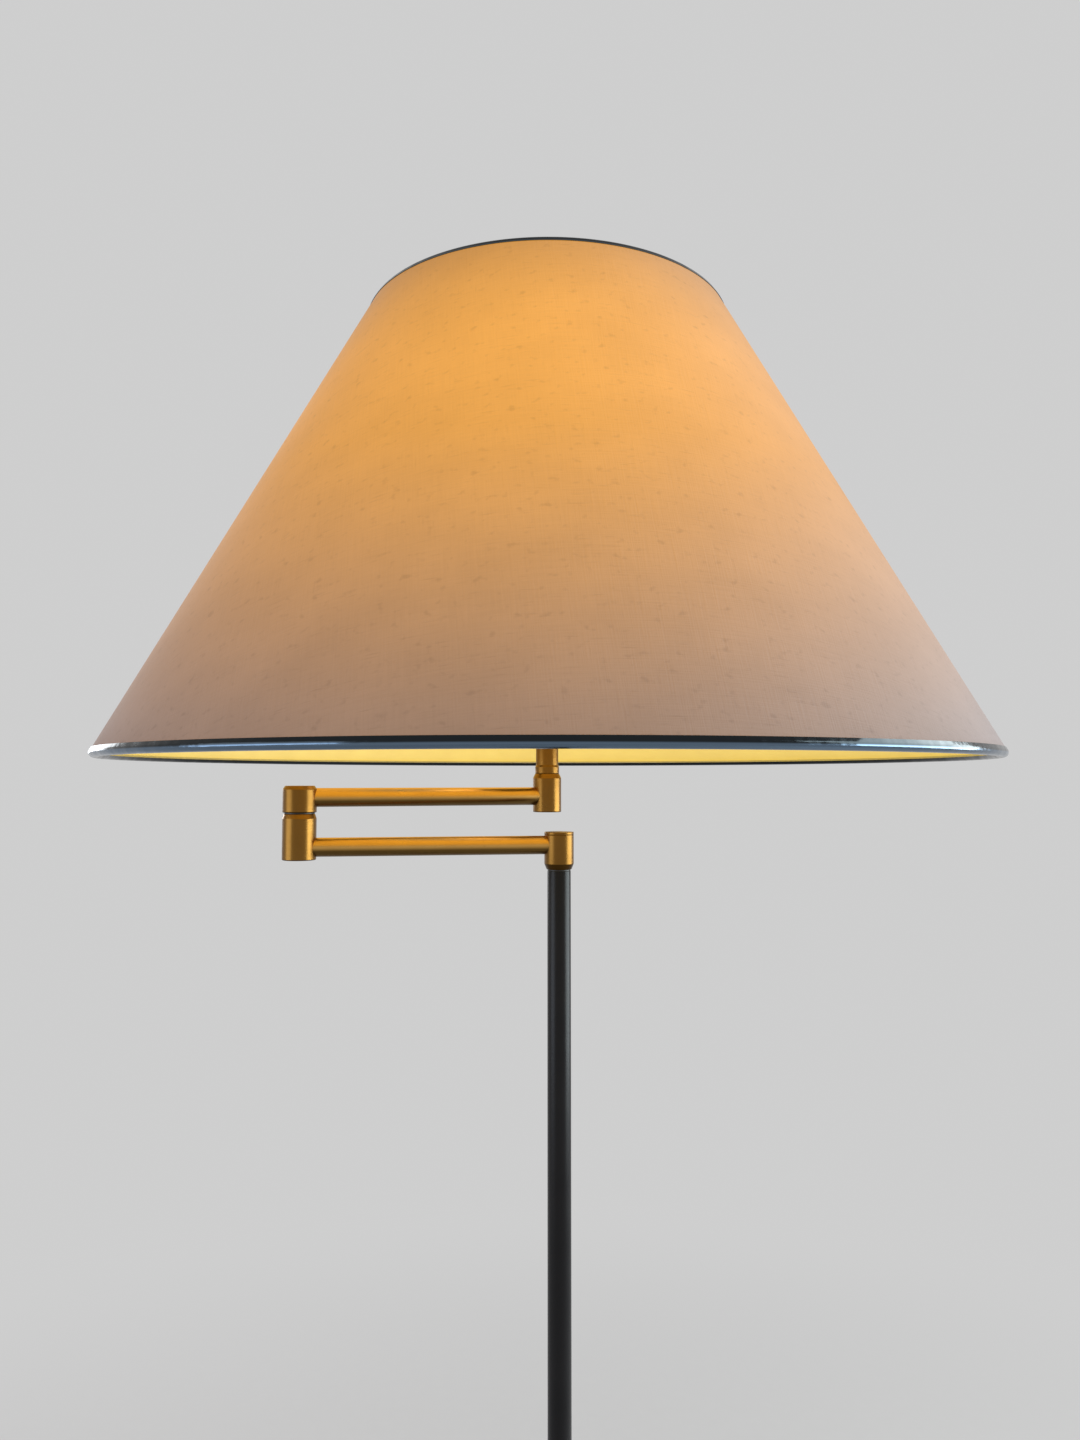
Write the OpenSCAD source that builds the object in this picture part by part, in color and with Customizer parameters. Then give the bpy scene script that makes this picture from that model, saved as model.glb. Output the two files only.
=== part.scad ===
// Swing-arm bridge floor lamp.
// The origin is on the pole's axis at the underside of the base, and +Z is up.
// The lower arm runs along -X from the pole, and the upper arm folds back over it.
// All sizes are in millimetres.

/* [Stance] */
// Height of the pole's top end above the floor
pole_top_z = 1160; // [1000:5:1300]
// Height of the joint between the two tubes of the pole
pole_split_z = 600; // [300:5:900]
// Distance between the two joint axes of one arm
arm_reach = 138; // [120:1:200]
// Angle by which the upper arm stands open from the folded position
fold_angle = 10.6; // [7:0.1:30]
// Rise from the lower rod's centre to the upper rod's centre
rod_rise = 26; // [24:0.5:40]

/* [Base] */
// Outer diameter of the base
base_d = 260; // [230:1:320]
// Height at which the rim of the base starts to curve in
rim_z = 14.5; // [14:0.5:20]
// Radius of the base's rounded shoulder
shoulder_r = 8; // [6:0.5:10]
// Height of the base's crown
crown_z = 31; // [30:0.5:45]
// Radius of the flat on the crown
crown_r = 21; // [19:0.5:30]
// Thickness of the spun cover
cover_t = 1.2; // [0.8:0.1:1.5]
// Thickness of the felt
felt_t = 2; // [1:0.1:3]
// Width of the cord channel under the weight
channel_w = 11; // [10.5:0.1:13]
// Height of the cord's inlet above the floor
inlet_z = 8.5; // [8.2:0.1:9]
// Outer diameter of the inlet bushing's shank
bushing_d = 9.6; // [9:0.1:10]
// Diameter of the cord's hole through the bushing
bushing_bore_d = 6.6; // [6:0.1:7]
// Length of the bushing
bushing_l = 12; // [8:0.5:16]
// Diameter of the bushing's outer flange
bushing_flange_d = 12; // [11:0.1:12.4]
// Distance from the pole's axis to the terminal block
block_y = 66; // [50:1:80]
// Length of the terminal block
block_l = 22; // [18:1:28]
// Width of the terminal block
block_w = 16; // [12:0.5:20]
// Height of the terminal block
block_h = 11; // [9:0.5:12]
// Diameter of the terminal block's screws
block_screw_d = 4; // [3:0.1:5]

/* [Pole] */
// Outer diameter of the pole
pole_d = 12.7; // [12.2:0.1:14]
// Wall of the pole
pole_wall = 1; // [0.8:0.05:1.2]
// Diameter of the threaded nipple that clamps the base
nipple_d = 9.6; // [9:0.1:10]
// Bore of that nipple
nipple_bore_d = 6.4; // [5.5:0.1:7]
// Length of the insert in the pole's foot
foot_insert_l = 20; // [12:1:40]
// Length of the sleeve inside the pole's joint
coupling_l = 50; // [30:1:80]
// Bore of that sleeve
coupling_bore_d = 7; // [5.5:0.1:8]
// Diameter of the collar at the pole's foot
collar_d = 24; // [20:0.5:34]
// Height of that collar
collar_h = 9; // [6:0.5:14]

/* [Knuckles] */
// Diameter of the pole knuckle and the end knuckle
knuckle_d = 16; // [15.6:0.1:18]
// Wall of those knuckles round their chamber
knuckle_wall = 1.7; // [1.4:0.05:1.8]
// Diameter of the two elbow knuckles
elbow_d = 17.6; // [17.2:0.1:20]
// Wall of the elbow knuckles round their chamber
elbow_wall = 2.6; // [2.4:0.05:2.7]
// Width of the bevels on the outer edges of the knuckles, across the axis
bevel_r = 1.2; // [0.6:0.1:1.3]
// Height of the bevel under the pole knuckle
pole_bevel_h = 3; // [1.5:0.1:3.5]
// Height of the bevel on top of the end knuckle
end_bevel_h = 2.6; // [1:0.1:3]
// Height of the bevel on top of the upper elbow knuckle
elbow_bevel_h = 1.8; // [0.8:0.1:2]
// Width of the bevel on top of the lower elbow knuckle, across the axis
joint_bevel_r = 0.8; // [0.4:0.1:1]
// Height of that bevel, along the axis
joint_bevel_h = 2.4; // [1:0.1:3]
// Thickness of the web that turns on a pivot
web_t = 3; // [2.5:0.1:4]
// Thickness of the upper elbow knuckle's floor
elbow_floor_t = 2.2; // [1.8:0.1:3]
// Thickness of the end knuckle's roof
end_roof_t = 4.5; // [4:0.1:7]
// Height of the upper rod's centre above the end knuckle's bottom
end_rod_up = 9; // [8:0.1:12]
// Thickness of the caps that close the knuckles
cap_t = 1; // [0.8:0.1:1.4]

/* [Pivots] */
// Diameter of the hollow pivots
pivot_d = 8; // [7.6:0.1:8.6]
// Thickness of the thrust washers between turning parts
thrust_t = 0.6; // [0.4:0.05:1]
// Thickness of the wave washers under the pivot nuts
wave_t = 0.6; // [0.4:0.05:1]
// Height of the pivot nuts
pivot_nut_h = 2.4; // [2:0.1:2.8]
// Length of the pivot's body inside the pole
pivot_body_l = 22; // [12:1:40]
// Thickness of the elbow pivot's head
pivot_head_t = 1; // [0.8:0.05:1.3]

/* [Rods and stem] */
// Outer diameter of the rods
rod_d = 10; // [9:0.1:10.4]
// Wall of the rods
rod_wall = 1.2; // [0.8:0.05:1.6]
// How far a rod's end stands inside a knuckle's chamber
rod_past = 0.3; // [0.2:0.05:0.5]
// Diameter of the stem under the shade
stem_d = 12.7; // [11:0.1:13.4]
// Height of the stem
stem_h = 15.1; // [10:0.1:30]
// Height of the stem's thicker foot
stem_foot_h = 4.5; // [2:0.1:6]
// Diameter of the nipple through the stem
stem_nipple_d = 8; // [7.6:0.1:9]
// Diameter of the lead inside the lamp
lead_d = 4; // [3:0.1:4.2]
// Radius of the lead's bends, at its centre line
lead_bend_r = 5; // [4.6:0.1:5.4]

/* [Socket and bulb] */
// Outer diameter of the socket
socket_d = 34; // [33:0.1:40]
// Height of the socket from its underside to its rim
socket_h = 52; // [48:0.5:60]
// Height of the socket's cap
socket_cap_h = 17; // [15:0.5:19]
// Diameter of the hub under the socket's cap
socket_hub_d = 13; // [11:0.1:16]
// Height of that hub
socket_hub_h = 4; // [3:0.1:6]
// Sheet thickness of the socket's cap and shell
socket_wall = 0.5; // [0.3:0.05:0.6]
// Thickness of the insulating sleeve
sleeve_t = 0.5; // [0.3:0.05:0.6]
// Height of the socket's inner body
socket_body_h = 13.5; // [12:0.5:16]
// Wall of the threaded screw shell
screw_shell_t = 0.4; // [0.3:0.05:0.5]
// Height of the centre contact
contact_h = 1.5; // [1:0.1:2.5]
// Diameter of the centre contact
contact_d = 8; // [6:0.5:10]
// Diameter of the switch key's shaft
key_shaft_d = 4; // [3:0.1:5]
// Length of the key's shaft outside the socket
key_reach = 11; // [8:0.5:16]
// Diameter of the key's knob
knob_d = 11; // [9:0.1:13]
// Thickness of the key's knob
knob_t = 7; // [5:0.5:9]
// Diameter of the bulb's threaded cap
bulb_cap_d = 26.2; // [25.5:0.1:26.6]
// Height of that cap above its tip
bulb_cap_h = 26; // [24:0.5:30]
// Depth of the thread on that cap
thread_depth = 0.7; // [0.4:0.05:0.9]
// Diameter of the bulb's globe
bulb_d = 60; // [45:1:66]
// Height of the bulb from its tip to its top
bulb_h = 108; // [100:1:115]
// Wall of the bulb's glass
glass_t = 1; // [0.6:0.1:1.4]
// Diameter of the bulb's neck inside its cap
bulb_neck_d = 23.6; // [22:0.1:24]

/* [Harp] */
// Height of the harp's top plate above the saddle
harp_h = 226; // [205:1:250]
// Half width of the harp at its widest
harp_half_w = 55; // [45:0.5:65]
// Half width of the saddle
saddle_half_w = 30; // [27:0.5:33]
// Thickness of the saddle's strip
saddle_t = 1.2; // [1:0.05:1.4]
// Width of the saddle's strip
saddle_w = 12; // [11:0.5:14]
// Height of the saddle's upright arms
saddle_arm_h = 13; // [11:0.5:20]
// Diameter of the harp's wire
harp_wire_d = 3.2; // [3:0.1:4]
// Length of the ferrules that hold the harp's feet
ferrule_l = 12; // [8:0.5:13]
// Diameter of the harp's top plate
plate_d = 16; // [12:0.5:20]
// Diameter of the stud that holds the finial
stud_d = 6.2; // [5.6:0.1:6.6]
// Height of the stud
stud_h = 15; // [12:0.5:17]
// Height of the finial
finial_h = 22; // [20:0.5:30]
// Diameter of the finial's ball
finial_d = 15; // [13:0.5:18]

/* [Shade] */
// Outer diameter of the shade at its bottom edge
shade_d = 480; // [420:1:520]
// Outer diameter of the shade at its top edge
shade_top_d = 205; // [180:1:240]
// Height of the shade from edge to edge
shade_h = 253; // [240:1:256]
// Height of the shade's top edge above the harp's top plate
spider_drop = 18; // [16:0.5:24]
// Thickness of the shade's fabric
fabric_t = 0.8; // [0.6:0.05:1]
// Thickness of the stiff lining
liner_t = 0.5; // [0.3:0.05:0.8]
// Diameter of the wire rings
ring_d = 2.5; // [2:0.1:3]
// Thickness of the rolled metal trims
trim_t = 0.35; // [0.25:0.05:0.5]
// Length of a trim's flat face beyond its roll
trim_face = 1.5; // [1:0.1:3]
// Diameter of the spider's arms
spider_wire_d = 3; // [2.5:0.1:4]
// Diameter of the spider's hub
hub_d = 19; // [17:0.5:24]
// Thickness of the spider's hub
hub_t = 3.2; // [3:0.1:4]

/* [Fits] */
// Radial clearance where a part turns on another
run_clear = 0.05; // [0.03:0.01:0.08]
// Radial clearance where a part is fixed in another
fit_clear = 0.05; // [0.03:0.01:0.08]
// Gap at flat faces that slide on each other
face_gap = 0.1; // [0.05:0.05:0.2]
// Room round the lead inside a bored part
lead_clear = 0.5; // [0.4:0.05:0.6]

/* [Hidden] */
$fn = 96;
cut = 1; // how far a cutting shape runs past the face it opens

brass = "#b8862f";
black = "#17171a";
steel = "#a9adb2";
iron = "#3c3d40";
linen = "#efe3cf";
lining = "#f8f5ec";
gunmetal = "#4d545d";

// Base
base_r = base_d / 2;
weight_r = base_r - shoulder_r;
weight_gap = 0.8;
weight_top = rim_z + shoulder_r - cover_t - weight_gap;
boss_r = crown_r - 2;
boss_top = crown_z - cover_t;
nipple_r = nipple_d / 2;
base_lead_bend_r = 6;
nipple_z0 = inlet_z + base_lead_bend_r + 0.5;
nut_z0 = nipple_z0 + 0.5;
nut_h = 5;
nut_r = nipple_r + 4;
washer_t = 1.5;
washer_r = nut_r + 1.5;
recess_r = washer_r + 2;
recess_top = nut_z0 + nut_h + washer_t;
channel_top = inlet_z + bushing_d / 2 + 0.8;
pocket_clear = 1;
pocket_top = inlet_z + block_h / 2;
bushing_flange_t = 1.5;
felt_r = base_r - 3;

// Pole
pole_r = pole_d / 2;
pole_bore_r = pole_r - pole_wall;
plug_r = pole_bore_r - fit_clear;
collar_floor = 1.5;
pole_foot_z = crown_z + collar_floor;
nipple_z1 = pole_foot_z + foot_insert_l - 2;

// Pole knuckle
knuckle_r = knuckle_d / 2;
chamber_r = knuckle_r - knuckle_wall;
pivot_r = pivot_d / 2;
lead_r = lead_d / 2;
lead_bore_r = lead_r + lead_clear;
rod_r = rod_d / 2;
nut_past = 0.3; // how far a pivot stands past its nut
stack_h = web_t + wave_t + pivot_nut_h + nut_past;
lead_rise = 1.8; // straight lead between a pivot's end and the bend
rod_cover = 0.5; // metal above and below the lower rod's seat
spigot_t = 1.5;
edge_break = 0.3;
washer_inset = 0.15;
pole_knuckle_z = pole_top_z + thrust_t + face_gap;
lower_rod_z = pole_knuckle_z + stack_h + lead_rise + lead_bend_r;
pole_knuckle_top = lower_rod_z + rod_r + rod_cover;
pole_cap_t = cap_t + 0.5;

// Elbow
elbow_r = elbow_d / 2;
elbow_chamber_r = elbow_r - elbow_wall;
upper_rod_z = lower_rod_z + rod_rise;
under_rod = 0.6; // from the upper elbow knuckle's floor to the rod
over_rod = 0.2; // from the rod to that knuckle's cap
elbow_top_z0 = upper_rod_z - rod_r - under_rod - elbow_floor_t;
elbow_top_z1 = upper_rod_z + rod_r + over_rod + cap_t;
elbow_low_z1 = elbow_top_z0 - thrust_t - face_gap;
elbow_low_z0 = lower_rod_z - rod_r - rod_cover - cap_t;
elbow_washer_r = elbow_r - joint_bevel_r - washer_inset;
elbow_nut_r = elbow_chamber_r - 0.3;
pivot_head_r = pivot_r + 1.3;
elbow_nut_z0 = elbow_low_z1 - web_t - wave_t - pivot_nut_h;
lead_meet_low_z = pole_knuckle_z + 1;
lead_meet_high_z = elbow_low_z1 - 3;
lead_gap = 0.4;

// End knuckle and stem
end_z0 = upper_rod_z - end_rod_up;
stem_nipple_z0 = upper_rod_z + lead_bend_r + lead_rise;
end_roof_z = stem_nipple_z0 + 1.5;
end_z1 = end_roof_z + end_roof_t;
stem_nipple_r = stem_nipple_d / 2;
stem_foot_r = knuckle_r - bevel_r;
stem_z1 = end_z1 + stem_h;
saddle_z1 = stem_z1 + saddle_t;

// Socket and bulb
socket_z = saddle_z1;
socket_r = socket_d / 2;
cap_rim_h = 5; // the upright rim of the socket's cap
cap_lap = 3; // how far the shell reaches down into that rim
shell_r = socket_r - socket_wall - fit_clear;
shell_z0 = socket_z + socket_cap_h - cap_lap;
sleeve_r = shell_r - socket_wall - fit_clear;
body_r = sleeve_r - sleeve_t - fit_clear;
shell_inset = 1; // how far the sleeve and the body lie inside the shell's ends
body_z = shell_z0 + shell_inset;
body_top = body_z + socket_body_h;
screw_in_r = bulb_cap_d / 2 + 0.15;
tip_z = body_top + contact_h;
key_z = body_z + socket_body_h / 2 + 1;
key_r = key_shaft_d / 2;
key_room = 0.8; // round the shaft where it passes the shell
key_seat = 11;
cap_skirt_z = 6;
cap_floor_z = cap_skirt_z + 2;
cap_in_r = bulb_neck_d / 2 + 0.1;
globe_r = bulb_d / 2;
globe_z = bulb_h - globe_r;
glass_foot_z = cap_floor_z + 4;
neck_z = bulb_cap_h + 4;
neck_r = bulb_neck_d / 2 + 0.8;

// Harp
wire_r = harp_wire_d / 2;
foot_x = saddle_half_w - saddle_t / 2;
tongue_h = ferrule_l / 2;
tongue_w = harp_wire_d - 0.2;
foot_z = stem_z1 + saddle_arm_h + 0.2;
harp_top_z = saddle_z1 + harp_h;
plate_cover = 0.3; // metal over and under the wire in the top plate
plate_t = harp_wire_d + 2 * plate_cover;
run_r = wire_r - 0.03; // the straight stretches are drawn a hair thinner than the bends
bend_lap = 1; // how far a straight stretch reaches into a bend
harp_wire_z = harp_top_z - plate_t / 2;
foot_straight = ferrule_l / 2 + 4;
splay = 30;
foot_arc_r = 30;
flank_arc_r = 60;
shoulder_x = 5; // where the top bend ends, inside the plate
shoulder_arc_r = harp_half_w - shoulder_x;

// Shade
seat = 0.05;
stack_t = fabric_t + seat + liner_t;
ring_r = ring_d / 2;
bead_r = (2 * trim_t + 3 * seat + stack_t + ring_d) / 2;
face_n = bead_r - trim_t - seat;
ring_n = ring_r + trim_t + seat - bead_r;
bead_bottom_r = shade_d / 2 - bead_r;
bead_top_r = shade_top_d / 2 - bead_r;
bead_rise = shade_h - 2 * bead_r;
slope = atan2(bead_bottom_r - bead_top_r, bead_rise);
slant = sqrt(pow(bead_bottom_r - bead_top_r, 2) + pow(bead_rise, 2));
hub_z = harp_top_z + face_gap;
shade_top_z = harp_top_z + spider_drop;
bead_bottom_z = shade_top_z - shade_h + bead_r;
spider_arms = 3;
arm_notch = 0.3; // room round each arm where it passes the trim
trim_lip = 1; // how far a trim is turned in beyond its roll
roll_steps = 14;
hub_bore_r = stud_d / 2 + run_clear;
finial_z = hub_z + hub_t + face_gap;

// ---------- shared shapes ----------

// points of an arc about [cx, cy], from angle a0 to a1 in steps
function arc(cx, cy, r, a0, a1, steps) =
    [for (i = [0:steps]) let (a = a0 + (a1 - a0) * i / steps) [cx + r * cos(a), cy + r * sin(a)]];

// a point in the shade's section: s up the slant and n outwards, from the bottom roll's centre
function on_shade(s, n) = [
    bead_bottom_r - s * sin(slope) + n * cos(slope),
    bead_bottom_z + s * cos(slope) + n * sin(slope)
];

// a cubic from value r0 to r1 over t = 0 to 1, level at the start and with end_slope at the end
function ease(r0, r1, end_slope, t) =
    r0 + (3 * t * t - 2 * t * t * t) * (r1 - r0) + (t * t * t - t * t) * end_slope;

module tube(z0, z1, outer_r, inner_r) {
    translate([0, 0, z0])
        difference() {
            cylinder(h = z1 - z0, r = outer_r);
            translate([0, 0, -cut])
                cylinder(h = z1 - z0 + 2 * cut, r = inner_r);
        }
}

// a hexagonal nut with a round bore
module nut(z0, h, corner_r, bore_r) {
    translate([0, 0, z0])
        difference() {
            cylinder(h = h, r = corner_r, $fn = 6);
            translate([0, 0, -cut])
                cylinder(h = h + 2 * cut, r = bore_r);
        }
}

// a turned knuckle with bevelled ends
module knuckle_blank(z0, z1, r, top_r, top_h, bottom_r, bottom_h) {
    translate([0, 0, z0])
        rotate_extrude()
            polygon([
                [0, 0], [r - bottom_r, 0], [r, bottom_h],
                [r, z1 - z0 - top_h], [r - top_r, z1 - z0], [0, z1 - z0]
            ]);
}

// a round hole between two heights on the axis
module hole(z0, z1, r) {
    translate([0, 0, z0])
        cylinder(h = z1 - z0, r = r);
}

// the side seat of a rod that leaves a knuckle of radius r along +X, from the rod's end inside
// the chamber outwards, and the lead's way in
module rod_seat_hole(z, r, chamber) {
    translate([0, 0, z])
        rotate([0, 90, 0]) {
            cylinder(h = r, r = rod_r - rod_wall);
            translate([0, 0, chamber - rod_past])
                cylinder(h = r - chamber + rod_past + cut, r = rod_r + fit_clear);
        }
}

// a rod along +X between the chambers of the elbow knuckle and of the knuckle at its far end
module rod(z) {
    x0 = elbow_chamber_r - rod_past;
    x1 = arm_reach - chamber_r + rod_past;
    translate([x0, 0, z])
        rotate([0, 90, 0])
            tube(0, x1 - x0, rod_r, rod_r - rod_wall);
}

// a straight run of lead along +X
module lead_run(x0, x1, z) {
    translate([x0, 0, z])
        rotate([0, 90, 0])
            cylinder(h = x1 - x0, r = lead_r);
}

// a quarter bend of lead from the vertical axis to a run along +X at height z;
// rise is 1 when the lead comes up from below and -1 when it goes up above
module lead_bend(z, rise, bend_r) {
    translate([bend_r, 0, z - rise * bend_r])
        rotate([90, 0, 0])
            rotate([0, 0, rise > 0 ? 90 : 180])
                rotate_extrude(angle = 90)
                    translate([bend_r, 0])
                        circle(r = lead_r);
}

// a disc that closes a chamber
module plug(z0, z1, r) {
    hole(z0, z1, r - fit_clear);
}

// moves what is drawn about the elbow's axis to its place, with +X along the upper arm
module upper_arm() {
    translate([-arm_reach, 0, 0])
        rotate([0, 0, fold_angle])
            children();
}

// moves what is drawn about the shade's axis to its place
module at_shade_axis() {
    upper_arm()
        translate([arm_reach, 0, 0])
            children();
}

// moves what is drawn about the elbow's axis, with +X towards the pole, to its place
module at_elbow() {
    translate([-arm_reach, 0, 0])
        children();
}

// ---------- base ----------

module base_felt() {
    color("#2f3a2f")
        hole(0, felt_t, felt_r);
}

module base_weight() {
    color(iron)
        difference() {
            union() {
                hole(felt_t, weight_top, weight_r);
                hole(felt_t, boss_top, boss_r);
            }
            hole(0, boss_top + cut, nipple_r + fit_clear);
            hole(0, recess_top, recess_r);
            translate([-channel_w / 2, 0, 0])
                cube([channel_w, base_r, channel_top]);
            translate([-block_w / 2 - pocket_clear, block_y - pocket_clear, 0])
                cube([block_w + 2 * pocket_clear, block_l + 2 * pocket_clear, pocket_top]);
        }
}

// the section of the spun cover, dropped by t inside its outer skin
function cover_skin(t) = concat(
    [[base_r - t, felt_t]],
    arc(base_r - shoulder_r, rim_z, shoulder_r - t, 0, 90, 8),
    [[crown_r, crown_z - t]]
);

module base_cover() {
    outer = cover_skin(0);
    inner = cover_skin(cover_t);
    hole_r = nipple_r + 0.3;
    color(black)
        difference() {
            rotate_extrude($fn = 180)
                polygon(concat(
                    outer,
                    [[hole_r, crown_z], [hole_r, crown_z - cover_t]],
                    [for (i = [len(inner) - 1:-1:0]) inner[i]]
                ));
            translate([0, base_r - shoulder_r, inlet_z])
                rotate([-90, 0, 0])
                    cylinder(h = shoulder_r + cut, d = bushing_d + 2 * fit_clear);
        }
}

module base_nipple() {
    color(steel)
        tube(nipple_z0, nipple_z1, nipple_r, nipple_bore_d / 2);
}

module base_washer() {
    color(steel)
        tube(recess_top - washer_t, recess_top, washer_r, nipple_r + fit_clear);
}

module base_nut() {
    color(steel)
        nut(nut_z0, nut_h, nut_r, nipple_r + fit_clear);
}

module cord_bushing() {
    color("#101010")
        translate([0, base_r, inlet_z])
            rotate([-90, 0, 0])
                difference() {
                    union() {
                        translate([0, 0, bushing_flange_t - bushing_l])
                            cylinder(h = bushing_l, d = bushing_d);
                        cylinder(h = bushing_flange_t, d = bushing_flange_d);
                    }
                    translate([0, 0, -bushing_l])
                        cylinder(h = 2 * bushing_l, d = bushing_bore_d);
                }
}

module terminal_block() {
    color("#e8e6df")
        difference() {
            translate([-block_w / 2, block_y, pocket_top - block_h])
                cube([block_w, block_l, block_h]);
            for (side = [-1, 1])
                translate([side * block_w / 4, block_y + block_l / 2, pocket_top - block_h - cut])
                    cylinder(h = block_h / 2 + cut, d = block_screw_d + 2 * fit_clear);
        }
}

module terminal_screws() {
    color(steel)
        for (side = [-1, 1])
            translate([side * block_w / 4, block_y + block_l / 2, pocket_top - block_h + 1])
                cylinder(h = block_h / 2 - 1, d = block_screw_d);
}

// ---------- pole ----------

module pole_collar() {
    color(brass)
        difference() {
            knuckle_blank(crown_z, crown_z + collar_h, collar_d / 2, 2, 2, 0, 0);
            hole(crown_z - cut, crown_z + collar_h + cut, nipple_r + fit_clear);
            hole(pole_foot_z, crown_z + collar_h + cut, pole_r + fit_clear);
        }
}

module pole_foot_insert() {
    color(steel)
        tube(pole_foot_z, pole_foot_z + foot_insert_l, plug_r, nipple_r + fit_clear);
}

module pole_lower() {
    color(black)
        tube(pole_foot_z, pole_split_z, pole_r, pole_bore_r);
}

module pole_coupling() {
    color(steel)
        tube(pole_split_z - coupling_l / 2, pole_split_z + coupling_l / 2, plug_r, coupling_bore_d / 2);
}

module pole_upper() {
    color(black)
        tube(pole_split_z, pole_top_z, pole_r, pole_bore_r);
}

module pole_pivot() {
    color(steel)
        difference() {
            union() {
                hole(pole_top_z - pivot_body_l, pole_top_z, plug_r);
                hole(pole_top_z - pivot_body_l, pole_knuckle_z + stack_h, pivot_r);
            }
            hole(pole_top_z - pivot_body_l - cut, pole_knuckle_z + stack_h + cut, lead_bore_r);
        }
}

module pole_pivot_nut() {
    color(steel)
        nut(pole_knuckle_z + web_t + wave_t, pivot_nut_h, chamber_r - 0.5, pivot_r + fit_clear);
}

module pole_lead() {
    color("#6b5a2c") {
        hole(inlet_z + base_lead_bend_r, lead_meet_low_z, lead_r);
        rotate([0, 0, 90]) {
            lead_bend(inlet_z, -1, base_lead_bend_r);
            lead_run(base_lead_bend_r, block_y, inlet_z);
        }
    }
}

// ---------- lower arm ----------

module pole_thrust_washer() {
    color("#d8d2c0")
        tube(pole_top_z, pole_top_z + thrust_t, pole_r - washer_inset, pivot_r + run_clear);
}

module pole_knuckle() {
    color(brass)
        difference() {
            knuckle_blank(pole_knuckle_z, pole_knuckle_top, knuckle_r, 0, 0, bevel_r, pole_bevel_h);
            hole(pole_knuckle_z - cut, pole_knuckle_top, pivot_r + run_clear);
            hole(pole_knuckle_z + web_t, pole_knuckle_top + cut, chamber_r);
            rotate([0, 0, 180])
                rod_seat_hole(lower_rod_z, knuckle_r, chamber_r);
        }
}

module pole_wave_washer() {
    color(steel)
        tube(pole_knuckle_z + web_t, pole_knuckle_z + web_t + wave_t,
            chamber_r - 0.3, pivot_r + run_clear);
}

module pole_knuckle_cap() {
    color(brass) {
        knuckle_blank(pole_knuckle_top, pole_knuckle_top + pole_cap_t, knuckle_r,
            edge_break, edge_break, 0, 0);
        tube(pole_knuckle_top - rod_cover, pole_knuckle_top,
            chamber_r - fit_clear, chamber_r - spigot_t);
    }
}

module lower_rod() {
    color(brass)
        at_elbow()
            rod(lower_rod_z);
}

module elbow_lower_knuckle() {
    color(brass)
        at_elbow()
            difference() {
                knuckle_blank(elbow_low_z0, elbow_low_z1, elbow_r, joint_bevel_r, joint_bevel_h,
                    edge_break, edge_break);
                hole(elbow_low_z0, elbow_low_z1 + cut, pivot_r + run_clear);
                hole(elbow_low_z0 - cut, elbow_low_z1 - web_t, elbow_chamber_r);
                rod_seat_hole(lower_rod_z, elbow_r, elbow_chamber_r);
            }
}

module elbow_bottom_cap() {
    color(brass)
        at_elbow()
            plug(elbow_low_z0, elbow_low_z0 + cap_t, elbow_chamber_r);
}

module lower_arm_lead() {
    color("#6b5a2c") {
        hole(lead_meet_low_z + lead_gap, lower_rod_z - lead_bend_r, lead_r);
        rotate([0, 0, 180])
            lead_bend(lower_rod_z, 1, lead_bend_r);
        at_elbow() {
            lead_run(lead_bend_r, arm_reach - lead_bend_r, lower_rod_z);
            lead_bend(lower_rod_z, -1, lead_bend_r);
            hole(lower_rod_z + lead_bend_r, lead_meet_high_z, lead_r);
        }
    }
}

// ---------- upper arm ----------

module elbow_thrust_washer() {
    color("#d8d2c0")
        upper_arm()
            tube(elbow_top_z0 - thrust_t, elbow_top_z0, elbow_washer_r, pivot_r + fit_clear);
}

module elbow_upper_knuckle() {
    color(brass)
        upper_arm()
            difference() {
                knuckle_blank(elbow_top_z0, elbow_top_z1, elbow_r, bevel_r, elbow_bevel_h,
                    edge_break, edge_break);
                hole(elbow_top_z0 - cut, elbow_top_z1, pivot_r + fit_clear);
                hole(elbow_top_z0 + elbow_floor_t, elbow_top_z1 + cut, elbow_chamber_r);
                rod_seat_hole(upper_rod_z, elbow_r, elbow_chamber_r);
            }
}

module elbow_top_cap() {
    color(brass)
        upper_arm()
            plug(elbow_top_z1 - cap_t, elbow_top_z1, elbow_chamber_r);
}

module elbow_pivot() {
    floor_z = elbow_top_z0 + elbow_floor_t;
    color(steel)
        upper_arm()
            difference() {
                union() {
                    hole(elbow_nut_z0 - nut_past, floor_z, pivot_r);
                    hole(floor_z, floor_z + pivot_head_t, pivot_head_r);
                }
                hole(elbow_nut_z0 - nut_past - cut, floor_z + pivot_head_t + cut, lead_bore_r);
            }
}

module elbow_wave_washer() {
    color(steel)
        upper_arm()
            tube(elbow_nut_z0 + pivot_nut_h, elbow_nut_z0 + pivot_nut_h + wave_t,
                elbow_nut_r, pivot_r + fit_clear);
}

module elbow_pivot_nut() {
    color(steel)
        upper_arm()
            nut(elbow_nut_z0, pivot_nut_h, elbow_nut_r, pivot_r + fit_clear);
}

module upper_rod() {
    color(brass)
        upper_arm()
            rod(upper_rod_z);
}

module end_knuckle() {
    color(brass)
        at_shade_axis()
            difference() {
                knuckle_blank(end_z0, end_z1, knuckle_r, bevel_r, end_bevel_h,
                    edge_break, edge_break);
                hole(end_z0 - cut, end_roof_z, chamber_r);
                hole(end_roof_z - cut, end_z1 + cut, stem_nipple_r + fit_clear);
                rotate([0, 0, 180])
                    rod_seat_hole(upper_rod_z, knuckle_r, chamber_r);
            }
}

module end_knuckle_cap() {
    color(brass)
        at_shade_axis()
            plug(end_z0, end_z0 + cap_t, chamber_r);
}

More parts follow.
